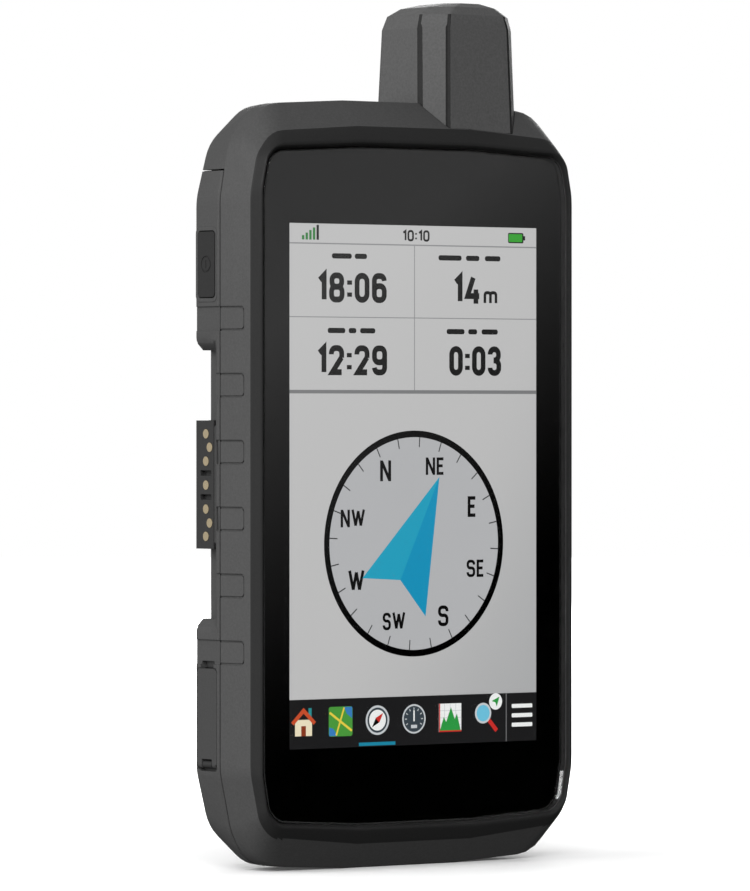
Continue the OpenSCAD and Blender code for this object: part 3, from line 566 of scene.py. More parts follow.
class Drawing:
    """Thin lit shapes of the picture, drawn in X and Z millimetres and gathered by ink."""

    step = 0.022 * MM               # distance from one depth to the next
    thick = 0.012 * MM              # thickness of an element
    bend_steps = 5                  # chords round a bend
    shortest = 0.008 * MM           # shorter chords are merged

    def __init__(self, workshop: Workshop, name: str, plane: float) -> None:
        """Start an empty drawing in front of the panel.

        Args:
            workshop: makes the finished pieces.
            name: first part of the pieces' names.
            plane: Y of the panel's front in metres.
        """
        self.workshop, self.name, self.plane = workshop, name, plane
        self.sheets: dict[Ink, bmesh.types.BMesh] = {}

    def _sheet(self, ink: Ink) -> bmesh.types.BMesh:
        """Return the bmesh that gathers an ink's shapes."""
        return self.sheets.setdefault(ink, bmesh.new())

    def _place(self, centre: Point, depth: Depth, turn_deg: float = 0) -> Matrix:
        """Return the matrix that puts a flat XY shape on its depth, turned clockwise."""
        spot = Vector((centre[0] * MM, self.plane - depth.value * self.step, centre[1] * MM))
        return Matrix.Translation(spot) @ UPRIGHT @ Matrix.Rotation(math.radians(-turn_deg), 4, "Z")

    def _thicken(self, sheet: bmesh.types.BMesh, faces: list) -> None:
        """Give flat faces the thickness of an element, towards the viewer."""
        grown = bmesh.ops.extrude_face_region(sheet, geom=faces)["geom"]
        shift_extrusion(sheet, grown, (0, -self.thick, 0))

    def plate(self, ink: Ink, depth: Depth, points: list[Point]) -> None:
        """Add a flat shape through points."""
        sheet = self._sheet(ink)
        y = self.plane - depth.value * self.step
        verts = [sheet.verts.new((x * MM, y, z * MM)) for x, z in points]
        self._thicken(sheet, [sheet.faces.new(verts)])

    def panel(
        self, ink: Ink, depth: Depth, centre: Point, width: float, height: float,
        radius: float = 0, turn_deg: float = 0,
    ) -> None:
        """Add a rectangle, with rounded corners if a radius is given."""
        sheet = self._sheet(ink)
        place = self._place(centre, depth, turn_deg) @ Matrix.Diagonal((width * MM, height * MM, 1, 1))
        made = bmesh.ops.create_grid(sheet, x_segments=1, y_segments=1, size=0.5, matrix=place)["verts"]
        if radius:
            made = bmesh.ops.bevel(sheet, geom=made, offset=radius * MM, segments=self.bend_steps,
                                   profile=0.5, affect="VERTICES", material=-1)["verts"]
        faces = list(dict.fromkeys(face for vert in made for face in vert.link_faces))
        self._thicken(sheet, faces)

    def disc(self, ink: Ink, depth: Depth, centre: Point, radius: float, segments: int = 32) -> None:
        """Add a filled circle."""
        sheet = self._sheet(ink)
        made = bmesh.ops.create_circle(sheet, cap_ends=True, segments=segments, radius=radius * MM,
                                       matrix=self._place(centre, depth))["verts"]
        self._thicken(sheet, list(dict.fromkeys(face for vert in made for face in vert.link_faces)))

    def ring(
        self, ink: Ink, depth: Depth, centre: Point, radius: float, width: float, segments: int = 48,
    ) -> None:
        """Add a ring, from its outer radius inwards."""
        sheet = self._sheet(ink)
        place = self._place(centre, depth)
        loops = [bmesh.ops.create_circle(sheet, segments=segments, radius=r * MM, matrix=place)["verts"]
                 for r in (radius, radius - width)]
        edges = list(dict.fromkeys(edge for loop in loops for vert in loop for edge in vert.link_edges))
        self._thicken(sheet, bmesh.ops.bridge_loops(sheet, edges=edges)["faces"])

    def bar(self, ink: Ink, depth: Depth, start: Point, end: Point, width: float) -> None:
        """Add a straight stroke from one point to another."""
        (x0, z0), (x1, z1) = start, end
        turn = math.degrees(math.atan2(x1 - x0, z1 - z0))
        self.panel(ink, depth, ((x0 + x1) / 2, (z0 + z1) / 2), width,
                   math.hypot(x1 - x0, z1 - z0), turn_deg=turn)

    def stroke(
        self, ink: Ink, depth: Depth, points: list[Point], width: float, bend: float = 0,
        closed: bool = False,
    ) -> None:
        """Add a stroke of even width along a line of points.

        Args:
            ink: colour of the stroke.
            depth: where it lies.
            points: its middle line.
            width: its width.
            bend: radius of its bends, 0 for sharp corners.
            closed: whether the last point joins the first.
        """
        strip = bmesh.new()
        y = self.plane - depth.value * self.step
        verts = [strip.verts.new((x * MM, y, z * MM)) for x, z in points]
        following = verts[1:] + verts[:1] if closed else verts[1:]
        edges = [strip.edges.new(pair) for pair in zip(verts, following)]
        grown = bmesh.ops.extrude_edge_only(strip, edges=edges)["geom"]
        shift_extrusion(strip, grown, (0, -self.thick, 0))
        corners = [edge for edge in strip.edges if len(edge.link_faces) == 2]
        if bend and corners:
            bmesh.ops.bevel(strip, geom=corners, offset=bend * MM, segments=self.bend_steps,
                            profile=0.5, affect="EDGES", material=-1, clamp_overlap=True)
            bmesh.ops.remove_doubles(strip, verts=strip.verts[:], dist=self.shortest)
        line = bpy.data.meshes.new("stroke")
        strip.to_mesh(line)
        strip.free()
        holder = bpy.data.objects.new("stroke", line)
        bpy.context.scene.collection.objects.link(holder)
        wall = holder.modifiers.new("width", "SOLIDIFY")
        wall.thickness, wall.offset, wall.use_even_offset = width * MM, 0, True
        solid = bpy.data.meshes.new_from_object(holder.evaluated_get(bpy.context.evaluated_depsgraph_get()))
        self._sheet(ink).from_mesh(solid)
        bpy.data.objects.remove(holder)
        bpy.data.meshes.remove(line)
        bpy.data.meshes.remove(solid)

    def characters(
        self, ink: Ink, depth: Depth, text: str, centre: Point, width: float, height: float,
        weight: float = 0.2,
    ) -> None:
        """Add figures or points of the compass, drawn in strokes to fill a box.

        Args:
            ink: colour of the characters.
            depth: where they lie.
            text: the characters, all of them in GLYPHS.
            centre: middle of their box.
            width: width of the box.
            height: height of the box.
            weight: width of a stroke, as a share of the height.
        """
        gap = 0.1
        total = sum(GLYPHS[c][0] for c in text) + gap * (len(text) - 1)
        stretch, line = width / total, weight * height
        left, foot = centre[0] - width / 2, centre[1] - height / 2
        for c in text:
            cell, strokes = GLYPHS[c]
            for closed, bend, points in strokes:
                self.stroke(ink, depth, [
                    (left + line / 2 + u * (cell * stretch - line), foot + line / 2 + v * (height - line))
                    for u, v in points], line, bend * height, closed)
            left += (cell + gap) * stretch

    def finish(self) -> None:
        """Make one piece for each ink."""
        for ink, sheet in self.sheets.items():
            self.workshop.piece(sheet, f"{self.name}_{ink.name.lower()}", ScreenInk(ink),
                                slot="display_film")
        self.sheets = {}


# ---- Sub-assemblies ---------------------------------------------------------------------

@dataclass
class Shell:
    """Outer mouldings: CAD shapes with their facets merged and their curves shaded smooth.

    Attributes:
        workshop: makes the finished pieces.
        smooth_deg: faces that meet at less than this are shaded as one.
        lip_y: Y of the lip's outer edge, and a little more.
        grooves: each groove's distance from the aerial's middle and from its front, and its reach.
        taper: how far the grooves lean inwards and backwards from the aerial's base to its tip.
        seam_y: front and back of the black strip of painted shade along the sides, from the rear housing's
            front.
        seam_set: how far that strip stays back from the sides.
        seam_depth: its depth inwards.
        seam_path: height and lean of the sides at each of its bends.
        cap_z: height of the joint between the top cap and the rear housing.
        cap_t: thickness of the seal in that joint.
        cap_w: its width inwards.
        cap_rim: its outer edge on the right, as X and Y, from the front to the back.
    """

    workshop: Workshop
    smooth_deg: float = 17
    lip_y: float = -14.3
    grooves: tuple[Spot, ...] = ((8.5, 0.0, 0.85), (13.1, 4.6, 1.35))
    taper: Point = (0.5, 0.75)
    seam_y: Point = (0.02, 0.48)
    seam_set: float = 0.45
    seam_depth: float = 0.8
    seam_path: tuple[Point, ...] = (
        (10, 2.45), (17, 0.9), (22.5, 0.1), (28, 0), (138, 0), (142.5, 0.35), (146.2, 0.95))
    cap_z: float = 146.325
    cap_t: float = 0.14
    cap_w: float = 6
    cap_rim: tuple[Point, ...] = ((42.4, -5.2), (41.9, 3.0), (38.3, 6.0), (33.0, 8.6), (27.0, 11.3))

    def build(self) -> None:
        """Make both housings, the aerial's cover with painted shade in its grooves, the battery cover, the
        seal between the top cap and the rear housing, and black strips of painted shade in the side seams.
        """
        front = self.refine("front_housing", "front_shell", HOUSING, "root", "housing_plastic")
        self.darken_lip(front)
        self.refine("rear_housing", "rear_shell", HOUSING, "root", "housing_plastic")
        aerial = self.refine("antenna_cover", "aerial_shell", AERIAL, "root", "antenna_plastic")
        # painted shade: the grooves' faces take a darker copy of the aerial's finish
        self.paint_groove_shade(aerial)
        self.refine("battery_cover", "battery_lid", HOUSING, "battery_cover", "housing_plastic")
        self.cap_seal()
        self.painted_seam_shade()

    def darken_lip(self, shell: bpy.types.Object) -> None:
        """Give the faces of the lip in front of its outer edge their own finish."""
        shell.data.materials.append(self.workshop.material(LIP))
        for face in shell.data.polygons:
            if max(shell.data.vertices[i].co.y for i in face.vertices) < self.lip_y * MM:
                face.material_index = 1

    def paint_groove_shade(self, shell: bpy.types.Object) -> None:
        """Paint shade into the grooves down the aerial's front corners: their faces take a darker copy of the
        aerial's finish.
        """
        shell.data.materials.append(self.workshop.material(AERIAL_GROOVE_SHADE))
        low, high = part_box("antenna_cover")
        middle = (low[0] + high[0]) / 2
        for face in shell.data.polygons:
            near = abs(face.center.x - middle), face.center.y
            rise = (face.center.z - low[2]) / (high[2] - low[2])
            for out, back, reach in self.grooves:
                spot = ((out - rise * self.taper[0]) * MM, low[1] + (back + rise * self.taper[1]) * MM)
                if math.dist(near, spot) < reach * MM:
                    face.material_index = 1

    def refine(
        self, node: str, name: str, finish: MouldedFinish, body: str, slot: str,
    ) -> bpy.types.Object:
        """Make a piece from a CAD node whose shape is kept.

        Args:
            node: the CAD node, which the piece stands for.
            name: name of the piece.
            finish: its finish.
            body: the body it rides on.
            slot: its material slot.

        Returns:
            The new piece.
        """
        made = self.workshop.piece(merged_copy(node), name, finish, body, slot, (node,), self.smooth_deg)
        flats = made.modifiers.new("flat_faces", "WEIGHTED_NORMAL")
        flats.keep_sharp, flats.mode, flats.weight = True, "FACE_AREA", 80
        return made

    def cap_seal(self) -> None:
        """Make the thin dark seal between the top cap and the rear housing."""
        sheet = bmesh.new()
        low = (self.cap_z - self.cap_t / 2) * MM
        verts = [sheet.verts.new((x * MM, y * MM, low)) for x, y in self.cap_rim]
        verts += [sheet.verts.new((-x * MM, y * MM, low)) for x, y in reversed(self.cap_rim)]
        face = sheet.faces.new(verts)
        ring = bmesh.ops.inset_individual(sheet, faces=[face], thickness=self.cap_w * MM)["faces"]
        bmesh.ops.delete(sheet, geom=[face], context="FACES_ONLY")
        grown = bmesh.ops.extrude_face_region(sheet, geom=ring)["geom"]
        shift_extrusion(sheet, grown, (0, 0, self.cap_t * MM))
        self.workshop.piece(sheet, "cap_seal", SEAL_RUBBER_AND_SEAM_SHADE, slot="seal_rubber")

    def painted_seam_shade(self) -> None:
        """Fill the shadow line between the front and rear housings along both sides with black strips of
        painted shade.
        """
        low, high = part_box("rear_housing")
        front, back = (low[1] + y * MM for y in self.seam_y)
        for side, name in ((-1, "painted_seam_shade_left"), (1, "painted_seam_shade_right")):
            cord = bmesh.new()
            rings = []
            for height, lean in self.seam_path:
                outer = high[0] - (self.seam_set + lean) * MM
                inner = outer - self.seam_depth * MM
                rings.append([cord.verts.new((side * x, y, height * MM)) for x, y in (
                    (inner, front), (outer, front), (outer, back), (inner, back))])
            for first, second in zip(rings, rings[1:]):
                for i in range(4):
                    j = (i + 1) % 4
                    cord.faces.new((first[i], first[j], second[j], second[i]))
            for end in (rings[0], rings[-1]):
                cord.faces.new(end)
            # painted shade: a black strip that stands in for the shade inside the shadow line
            self.workshop.piece(cord, name, SEAL_RUBBER_AND_SEAM_SHADE, slot="seal_rubber")


@dataclass
class Screen:
    """Cover glass with its black border, and the picture behind it.

    Attributes:
        workshop: makes the finished pieces.
        half_width: half width of the picture.
        low: bottom of the picture.
        high: top of the picture.
        glass_t: thickness of the clear glass.
        edge: rounding of the glass edge.
        dial: middle of the compass dial.
        dial_r: outer radius of the dial.
        band_top: top of the band of icons.
        icon_z: middle height of the icons.
        icon_pitch: distance from one icon to the next.
        first_icon_x: middle of the leftmost icon.
        plane: Y of the panel's front in metres.
    """

    workshop: Workshop
    half_width: float = 32.9
    low: float = 25.7
    high: float = 135.3
    glass_t: float = 1.62
    edge: float = 0.3
    dial: Point = (0.0, 68.2)
    dial_r: float = 23.85
    band_top: float = 36.0
    icon_z: float = 31.2
    icon_pitch: float = 9.68
    first_icon_x: float = -29.2
    plane: float = field(init=False)

    def __post_init__(self) -> None:
        """Find the panel's front."""
        self.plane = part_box("display_panel")[0].y

    def build(self) -> None:
        """Make the glass and the whole picture."""
        self.glass()
        self.border()
        self.ground()
        self.status_line()
        self.fields()
        self.compass()
        self.tab_band()
        self.icons()

    def drawing(self, name: str) -> Drawing:
        """Start a drawing on the panel."""
        return Drawing(self.workshop, name, self.plane)

    def glass(self) -> None:
        """Make the clear glass from the CAD glass, thinner behind and with a rounded front edge."""
        shape = merged_copy("cover_glass")
        low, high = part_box("cover_glass")
        self._flatten(shape, low.y, high.y, low.y, low.y + self.glass_t * MM)
        rim = [edge for edge in shape.edges if all(vert.co.y < low.y + 0.01 * MM for vert in edge.verts)
               and edge.is_manifold and edge.calc_face_angle() > 0.5]
        bmesh.ops.bevel(shape, geom=rim, offset=self.edge * MM, segments=3, profile=0.5,
                        affect="EDGES", material=-1, clamp_overlap=True)
        self.workshop.piece(shape, "clear_glass", CLEAR_GLASS, slot="cover_glass",
                            stands_for=("cover_glass",), smooth_deg=5)

    def border(self) -> None:
        """Make the black border printed on the glass's back, with the picture's window cut out."""
        shape = merged_copy("cover_glass")
        low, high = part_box("cover_glass")
        back = low.y + (self.glass_t + 0.01) * MM
        self._flatten(shape, low.y, high.y, back, back + 0.04 * MM)
        cuts = [((s * self.half_width * MM, 0, 0), (1, 0, 0)) for s in (-1, 1)]
        cuts += [((0, 0, z * MM), (0, 0, 1)) for z in (self.low, self.high)]
        for spot, normal in cuts:
            bmesh.ops.bisect_plane(shape, geom=shape.verts[:] + shape.edges[:] + shape.faces[:],
                                   plane_co=spot, plane_no=normal, dist=0.0001 * MM)
        inside = [face for face in shape.faces if self._in_picture(face.calc_center_median())]
        bmesh.ops.delete(shape, geom=inside, context="FACES")
        walls = [edge for edge in shape.edges if edge.is_boundary]
        bmesh.ops.bridge_loops(shape, edges=walls)
        self.workshop.piece(shape, "printed_border", BLACK_PRINT, slot="cover_glass", smooth_deg=5)

    def _flatten(self, shape: bmesh.types.BMesh, low: float, high: float, front: float, back: float) -> None:
        """Scale a slab from its own front and back planes to new ones, along Y."""
        place = (Matrix.Translation((0, front, 0)) @ Matrix.Diagonal((1, (back - front) / (high - low), 1, 1))
                 @ Matrix.Translation((0, -low, 0)))
        bmesh.ops.transform(shape, matrix=place, verts=shape.verts[:])

    def _in_picture(self, spot: Vector) -> bool:
        """Tell whether a point lies in front of the picture."""
        return abs(spot.x) < self.half_width * MM and self.low * MM < spot.z < self.high * MM

    def ground(self) -> None:
        """Make the pale lit ground of the picture, with its painted falloff of light."""
        sheet = self.drawing("picture")
        centre = (0, (self.low + self.high) / 2)
        sheet.panel(Ink.DISC, Depth.GROUND, centre, 2 * self.half_width, self.high - self.low)
        self.workshop.piece(sheet.sheets.pop(Ink.DISC), "picture_ground", BacklitWithPaintedFalloff(), slot="display_film")

    def status_line(self) -> None:
        """Draw the signal bars, the clock, the battery and the line below them."""
        sheet = self.drawing("status")
        for i in range(5):
            height = 0.9 + 0.55 * i
            sheet.panel(Ink.SIGNAL if i < 4 else Ink.PRINT, Depth.MIDDLE,
                        (-29.3 + 0.95 * i, 131.9 + height / 2), 0.6, height)
        sheet.characters(Ink.PRINT, Depth.MIDDLE, "10:10", (0.4, 133.15), 7.2, 2.4, 0.19)
        sheet.panel(Ink.PRINT, Depth.UNDER, (27.3, 133.1), 4.2, 2.2, 0.35)
        sheet.panel(Ink.BATTERY, Depth.MIDDLE, (27.2, 133.1), 3.7, 1.7, 0.2)
        sheet.panel(Ink.PRINT, Depth.UNDER, (29.6, 133.1), 0.5, 0.9)
        sheet.finish()
        rules = self.drawing("rule")
        full = 2 * self.half_width
        rules.panel(Ink.LINE, Depth.MIDDLE, (0, 131.15), full, 0.28)
        rules.panel(Ink.LINE, Depth.MIDDLE, (0, 115.8), full, 0.2)
        rules.panel(Ink.RULE, Depth.OVER, (0, 100.2), full, 0.75)
        rules.panel(Ink.LINE, Depth.UNDER, (0, 115.7), 0.2, 30.8)
        rules.finish()

    def fields(self) -> None:
        """Draw the four data fields: a plain dash for each word, and the figures."""
        sheet = self.drawing("field")
        figures = (("18:06", -16.5, 122.0, 18.2), ("14", 14.2, 122.0, 7.6),
                   ("12:29", -16.5, 106.8, 18.4), ("0:03", 16.3, 106.8, 14.0))
        for text, x, z, width in figures:
            sheet.characters(Ink.PRINT, Depth.MIDDLE, text, (x, z), width, 6.3)
        sheet.characters(Ink.PRINT, Depth.MIDDLE, "m", (20.4, 120.35), 3.7, 2.7, 0.26)
        dashes = (((-19.2, 5.2), (-14.2, 3.2)), ((9.5, 6.2), (15.6, 3.6), (21.0, 4.2)),
                  ((-20.6, 4.6), (-16.4, 2.0), (-12.4, 4.0)), ((11.0, 4.8), (15.6, 2.4), (20.2, 4.4)))
        for row, z in zip(dashes, (128.6, 128.6, 113.0, 113.0)):
            for x, width in row:
                sheet.panel(Ink.PRINT, Depth.MIDDLE, (x, z), width, 1.1, 0.5)
        sheet.finish()

    def compass(self) -> None:
        """Draw the dial, its ticks and letters, and the two-tone arrow."""
        sheet = self.drawing("dial")
        x0, z0 = self.dial
        north_deg = -26.5
        sheet.disc(Ink.DISC, Depth.UNDER, self.dial, self.dial_r - 0.7, 96)
        sheet.ring(Ink.RING, Depth.MIDDLE, self.dial, self.dial_r, 1.4, 128)
        for i in range(24):
            angle = math.radians(north_deg + 15 * i)
            sx, sz = math.sin(angle), math.cos(angle)
            sheet.bar(Ink.TICK, Depth.OVER, (x0 + 20.4 * sx, z0 + 20.4 * sz),
                      (x0 + 22.5 * sx, z0 + 22.5 * sz), 0.25)
        for i, text in enumerate(("N", "NE", "E", "SE", "S", "SW", "W", "NW")):
            angle = math.radians(north_deg + 45 * i)
            height = 4.4 if len(text) == 1 else 3.7
            width = {"N": 2.9, "E": 2.3, "S": 2.8, "W": 4.3, "NE": 4.9, "SE": 4.7, "SW": 6.0,
                     "NW": 6.4}[text]
            sheet.characters(Ink.PRINT, Depth.MIDDLE, text, (
                x0 + 17.2 * math.sin(angle), z0 + 17.2 * math.cos(angle)), width, height, 0.17)
        tip, left, notch, right = (6.6, 82.2), (-13.8, 61.1), (-3.8, 60.55), (2.9, 52.8)
        sheet.plate(Ink.ARROW_LIGHT, Depth.TOP, [tip, left, notch])
        sheet.plate(Ink.ARROW_DARK, Depth.TOP, [tip, notch, right])
        sheet.finish()

    def tab_band(self) -> None:
        """Draw the dark band of tabs, its divider, the menu bars and the mark of the open tab."""
        sheet = self.drawing("band")
        sheet.panel(Ink.BAND, Depth.UNDER, (0, (self.low + self.band_top) / 2), 2 * self.half_width,
                    self.band_top - self.low)
        sheet.panel(Ink.DIVIDER, Depth.MIDDLE, (24.7, (self.low + self.band_top) / 2), 0.25,
                    self.band_top - self.low)
        for i in range(3):
            sheet.panel(Ink.WHITE, Depth.MIDDLE, (29.0, self.icon_z + 2.0 * (i - 1)), 5.6, 0.85, 0.2)
        sheet.panel(Ink.TEAL, Depth.MIDDLE, (-9.9, 26.25), 9.6, 0.7)
        sheet.finish()

    def icons(self) -> None:
        """Draw the six pictures on the tabs, left to right."""
        makers = (self._house, self._map, self._rose, self._gauge, self._plot, self._magnifier)
        for i, make in enumerate(makers):
            make(self.first_icon_x + i * self.icon_pitch, self.icon_z)

    def _house(self, x: float, z: float) -> None:
        """Draw a house about a point."""
        sheet = self.drawing("house")
        sheet.panel(Ink.CHIMNEY, Depth.MIDDLE, (x + 1.7, z + 1.9), 0.8, 2.2)
        sheet.panel(Ink.WALL, Depth.MIDDLE, (x, z - 1.1), 4.4, 3.4)
        sheet.plate(Ink.ROOF, Depth.OVER, [(x - 3.2, z + 0.1), (x - 2.6, z - 0.5), (x, z + 1.9),
                                           (x + 2.6, z - 0.5), (x + 3.2, z + 0.1), (x, z + 3.1)])
        sheet.panel(Ink.DOOR, Depth.OVER, (x, z - 1.75), 1.2, 2.1)
        sheet.finish()

    def _map(self, x: float, z: float) -> None:
        """Draw a map tile about a point."""
        sheet = self.drawing("map")
        sheet.panel(Ink.FIELD, Depth.MIDDLE, (x, z), 6.2, 6.2, 0.5)
        sheet.plate(Ink.WATER, Depth.OVER, [(x + 0.9, z + 3.0), (x + 3.0, z + 3.0), (x + 3.0, z + 0.6),
                                            (x + 1.6, z + 1.6)])
        sheet.plate(Ink.WATER, Depth.OVER, [(x - 3.0, z - 3.0), (x - 0.9, z - 3.0), (x - 1.9, z - 1.5),
                                            (x - 3.0, z - 1.2)])
        sheet.bar(Ink.ROAD, Depth.TOP, (x - 2.9, z + 1.9), (x + 2.9, z - 2.0), 0.5)
        sheet.bar(Ink.ROAD, Depth.TOP, (x - 1.2, z - 2.9), (x + 0.9, z + 2.9), 0.4)
        sheet.finish()

    def _rose(self, x: float, z: float) -> None:
        """Draw a small compass about a point."""
        sheet = self.drawing("rose")
        sheet.disc(Ink.SLATE, Depth.MIDDLE, (x, z), 3.1)
        sheet.ring(Ink.METAL, Depth.OVER, (x, z), 3.1, 0.45)
        sheet.disc(Ink.WHITE, Depth.OVER, (x, z), 2.2)
        sheet.plate(Ink.NEEDLE, Depth.TOP, [(x + 1.5, z + 1.5), (x - 0.55, z + 0.45), (x + 0.45, z - 0.55)])
        sheet.plate(Ink.PRINT, Depth.TOP, [(x - 1.5, z - 1.5), (x - 0.5, z + 0.4), (x + 0.4, z - 0.5)])
        sheet.finish()

    def _gauge(self, x: float, z: float) -> None:
        """Draw a round gauge about a point."""
        sheet = self.drawing("gauge")
        sheet.disc(Ink.SLATE, Depth.MIDDLE, (x, z), 3.1)
        sheet.ring(Ink.METAL, Depth.OVER, (x, z), 3.1, 0.35)
        for i in range(9):
            angle = math.radians(-120 + 30 * i)
            sx, sz = math.sin(angle), math.cos(angle)
            sheet.bar(Ink.METAL, Depth.OVER, (x + 1.9 * sx, z + 1.9 * sz), (x + 2.4 * sx, z + 2.4 * sz), 0.2)
        sheet.bar(Ink.WHITE, Depth.TOP, (x, z - 0.5), (x, z + 1.8), 0.35)
        sheet.panel(Ink.METAL, Depth.TOP, (x, z - 1.6), 1.6, 0.7)
        sheet.finish()

    def _plot(self, x: float, z: float) -> None:
        """Draw an elevation plot about a point."""
        sheet = self.drawing("plot")
        sheet.panel(Ink.WHITE, Depth.MIDDLE, (x, z), 6.0, 6.0)
        for i in range(3):
            sheet.panel(Ink.METAL, Depth.OVER, (x, z - 1.5 + 1.5 * i), 6.0, 0.12)
            sheet.panel(Ink.METAL, Depth.OVER, (x - 1.5 + 1.5 * i, z), 0.12, 6.0)
        sheet.plate(Ink.PEAK, Depth.TOP, [(x - 2.8, z - 2.7), (x - 1.7, z + 0.2), (x - 1.1, z - 0.9),
                                          (x + 0.2, z + 2.2), (x + 1.2, z - 0.3), (x + 1.8, z + 0.8),
                                          (x + 2.8, z - 2.7)])
        sheet.bar(Ink.NEEDLE, Depth.TOP, (x - 2.85, z - 3.0), (x - 2.85, z + 3.0), 0.3)
        sheet.bar(Ink.NEEDLE, Depth.TOP, (x - 2.7, z - 2.85), (x + 3.0, z - 2.85), 0.3)
        sheet.finish()

    def _magnifier(self, x: float, z: float) -> None:
        """Draw a magnifier with a badge about a point."""
        sheet = self.drawing("magnifier")
        sheet.bar(Ink.NEEDLE, Depth.MIDDLE, (x + 0.5, z - 0.5), (x + 2.9, z - 3.1), 0.95)
        sheet.disc(Ink.METAL, Depth.OVER, (x - 0.8, z + 0.7), 2.2)
        sheet.disc(Ink.LENS, Depth.TOP, (x - 0.8, z + 0.7), 1.75)
        sheet.disc(Ink.WHITE, Depth.OVER, (x + 2.6, z + 3.1), 1.75)
        sheet.plate(Ink.PEAK, Depth.TOP, [(x + 3.6, z + 4.1), (x + 1.5, z + 3.2), (x + 2.5, z + 2.9),
                                          (x + 2.9, z + 2.0)])
        sheet.finish()


@dataclass
class Interior:
    """Everything that keeps its CAD shape: each node takes the finish of its slot."""

    workshop: Workshop

    def build(self) -> None:
        """Dress every CAD node that still shows."""
        slots = {}
        for part in frame["record"]["subparts"]:
            slots[part["node"]] = part["material_slot"]
        for node, thing in frame["nodes"].items():
            if thing.hide_render:
                continue
            finish = FINISH_OF_SLOT.get(slots.get(node, ""))
            if finish is None:
                LOG.warning("no finish for %s (%s)", node, slots.get(node))
                continue
            self.workshop.dress(node, finish)


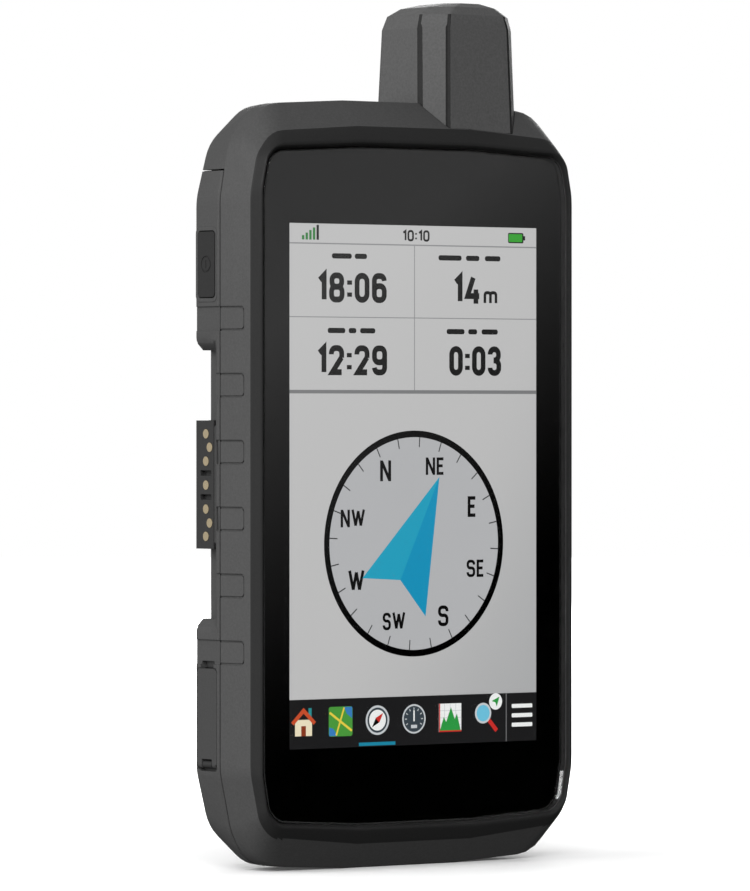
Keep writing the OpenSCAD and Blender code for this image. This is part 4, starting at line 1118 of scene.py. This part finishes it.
@dataclass
class Studio:
    """Pale floor, soft light and the camera.

    Attributes:
        target: point that the camera looks at, in metres.
        distance: from the camera to that point.
        azimuth_deg: turn round the object, 0 looking along +Y.
        elevation_deg: height above the horizon.
        lens_mm: focal length on a 36 mm frame.
        floor_reach: distances from the middle between which the floor's glow grows, in metres.
        floor_glow: strength of that glow, near and far.
        card_way: direction of the middle of the dark card that the glass mirrors.
        card_reach: distances from that middle between which the card gives way to the room.
        card_slope: slant of the card's gradient.
        card_fade: where along the slant the gradient starts and ends.
        card_level: strength of the light at the bright end of the card.
        high_level: strength of the room's light, low down and high up.
        left_level: what the left side of the room adds to it.
    """

    target: Vector = field(default_factory=lambda: Vector((-10.14, -14.25, 88.92)) * MM)
    distance: float = 1.3735
    azimuth_deg: float = -37.287
    elevation_deg: float = 0.263
    lens_mm: float = 264.08
    floor_reach: Point = (0.05, 0.26)
    floor_glow: Point = (0.05, 1.0)
    card_way: Spot = (0.61, -0.79, 0.0)
    card_reach: Point = (0.1, 0.3)
    card_slope: float = 0.98
    card_fade: Point = (-0.639, -0.569)
    card_level: float = 0.42
    high_level: Point = (0.1, 0.5)
    left_level: float = 0.5

    def build(self) -> None:
        """Make the camera, the floor, the room and the lights."""
        bpy.context.scene.view_settings.view_transform = "Standard"
        self.camera()
        self.floor()
        self.room()
        self.softbox("left_softbox", (-1.0, 0.25, 0.35), (0.7, 0.9), 8.5)
        self.softbox("top_softbox", (0.1, 0.1, 1.2), (1.0, 1.0), 1.0)
        self.softbox("front_softbox", (-0.9, -1.15, 0.6), (0.9, 0.7), 22.0)
        self.softbox("back_softbox", (1.3, 1.2, 0.7), (0.9, 0.9), 16.0)

    def camera(self) -> None:
        """Place the camera."""
        turn, rise = math.radians(self.azimuth_deg), math.radians(self.elevation_deg)
        back = Vector((math.sin(turn) * math.cos(rise), -math.cos(turn) * math.cos(rise), math.sin(rise)))
        data = bpy.data.cameras.new("camera")
        data.lens, data.sensor_width, data.sensor_fit = self.lens_mm, 36.0, "AUTO"
        data.clip_start, data.clip_end = 0.01, 50.0
        eye = bpy.data.objects.new("camera", data)
        eye.location = self.target + back * self.distance
        eye.rotation_euler = (-back).to_track_quat("-Z", "Y").to_euler()
        bpy.context.scene.collection.objects.link(eye)
        bpy.context.scene.camera = eye

    def floor(self) -> None:
        """Lay a round pale floor that mirrors never see. It glows less near the middle, so the floor round
        the object's base is darker: painted shade added to its real shadow.
        """
        shape = bmesh.new()
        bmesh.ops.create_circle(shape, cap_ends=True, segments=96, radius=3.0,
                                matrix=Matrix.Translation((0, 0, -0.00005)))
        mesh = bpy.data.meshes.new("studio_floor")
        shape.to_mesh(mesh)
        shape.free()
        material, tree = blank_tree("white_paper")
        place = add_node(tree, "ShaderNodeTexCoord").outputs["Object"]
        fibre = add_node(tree, "ShaderNodeTexNoise", values={"Scale": size_of(PAPER_MM)},
                         links={"Vector": place})
        relief = add_node(tree, "ShaderNodeBump", values={"Strength": 0.02, "Distance": 0.1 * MM},
                          links={"Height": fibre.outputs[0]})
        reach = add_node(tree, "ShaderNodeVectorMath", {"operation": "LENGTH"}, {}, {0: place})
        # painted shade: the glow is weakest near the middle, so the floor round the base reads darker
        glow = add_node(tree, "ShaderNodeMapRange", {"interpolation_type": "SMOOTHSTEP"}, {
            "From Min": self.floor_reach[0], "From Max": self.floor_reach[1],
            "To Min": self.floor_glow[0], "To Max": self.floor_glow[1]}, {"Value": reach.outputs["Value"]})
        shader = add_node(tree, "ShaderNodeBsdfPrincipled", values={
            "Base Color": (0.95, 0.95, 0.95, 1), "Roughness": 0.9, "Specular IOR Level": 0.0,
            "Emission Color": (1, 1, 1, 1)}, links={
            "Normal": relief.outputs[0], "Emission Strength": glow.outputs[0]})
        add_node(tree, "ShaderNodeOutputMaterial", links={"Surface": shader.outputs[0]})
        mesh.materials.append(material)
        floor = bpy.data.objects.new("studio_floor", mesh)
        floor.visible_glossy = floor.visible_diffuse = floor.visible_transmission = False
        bpy.context.scene.collection.objects.link(floor)

    def room(self) -> None:
        """Light the room evenly, with a soft dark flag low on the front right."""
        world = bpy.data.worlds.new("studio_room")
        bpy.context.scene.world = world
        world.use_nodes = True
        tree = world.node_tree
        tree.nodes.clear()
        way = add_node(tree, "ShaderNodeTexCoord").outputs["Generated"]
        axes = add_node(tree, "ShaderNodeSeparateXYZ", links={0: way})
        slant = add_node(tree, "ShaderNodeMath", {"operation": "MULTIPLY_ADD"}, {1: -self.card_slope},
                         {0: axes.outputs[0], 2: axes.outputs[2]})
        fade = add_node(tree, "ShaderNodeMapRange", values={
            "From Min": self.card_fade[0], "From Max": self.card_fade[1], "To Min": 0.0, "To Max": 1.0},
            links={"Value": slant.outputs[0]})
        curve = add_node(tree, "ShaderNodeMath", {"operation": "POWER"}, {1: 2.0}, {0: fade.outputs[0]})
        near = add_node(tree, "ShaderNodeVectorMath", {"operation": "DISTANCE"}, {
            1: self.card_way}, {0: way})
        sector = add_node(tree, "ShaderNodeMapRange", {"interpolation_type": "SMOOTHSTEP"}, {
            "From Min": self.card_reach[0], "From Max": self.card_reach[1],
            "To Min": 1.0, "To Max": 0.0}, {"Value": near.outputs["Value"]})
        card = add_node(tree, "ShaderNodeMath", {"operation": "MULTIPLY"}, {1: self.card_level},
                        {0: curve.outputs[0]})
        high = add_node(tree, "ShaderNodeMapRange", values={
            "From Min": -0.1, "From Max": 0.9, "To Min": self.high_level[0], "To Max": self.high_level[1]},
            links={"Value": axes.outputs[2]})
        left = add_node(tree, "ShaderNodeMapRange", values={
            "From Min": 0.2, "From Max": -1.0, "To Min": 0.0, "To Max": self.left_level},
            links={"Value": axes.outputs[0]})
        around = add_node(tree, "ShaderNodeMath", {"operation": "ADD"}, {}, {
            0: high.outputs[0], 1: left.outputs[0]})
        level = add_node(tree, "ShaderNodeMix", {"data_type": "FLOAT"}, {}, {
            0: sector.outputs[0], 2: around.outputs[0], 3: card.outputs[0]})
        ray = add_node(tree, "ShaderNodeLightPath")
        seen = add_node(tree, "ShaderNodeMath", {"operation": "MAXIMUM"}, {}, {
            0: level.outputs[0], 1: ray.outputs["Is Camera Ray"]})
        glow = add_node(tree, "ShaderNodeBackground", values={"Color": (1, 1, 1, 1)},
                        links={"Strength": seen.outputs[0]})
        add_node(tree, "ShaderNodeOutputWorld", links={"Surface": glow.outputs[0]})

    def softbox(
        self, name: str, spot: Spot, size: Point, power: float,
    ) -> None:
        """Hang a soft light that points at the object.

        Args:
            name: name of the light.
            spot: where it hangs, in metres.
            size: width and height in metres.
            power: watts.
        """
        data = bpy.data.lights.new(name, "AREA")
        data.shape, data.size, data.size_y, data.energy = "RECTANGLE", size[0], size[1], power
        box = bpy.data.objects.new(name, data)
        box.location = spot
        box.rotation_euler = (self.target - Vector(spot)).to_track_quat("-Z", "Y").to_euler()
        bpy.context.scene.collection.objects.link(box)


def main() -> None:
    """Build the studio and every sub-assembly."""
    logging.basicConfig(level=logging.INFO, format="%(message)s")
    workshop = Workshop()
    Studio().build()
    Shell(workshop).build()
    Screen(workshop).build()
    Interior(workshop).build()


if __name__ == "__main__":
    main()
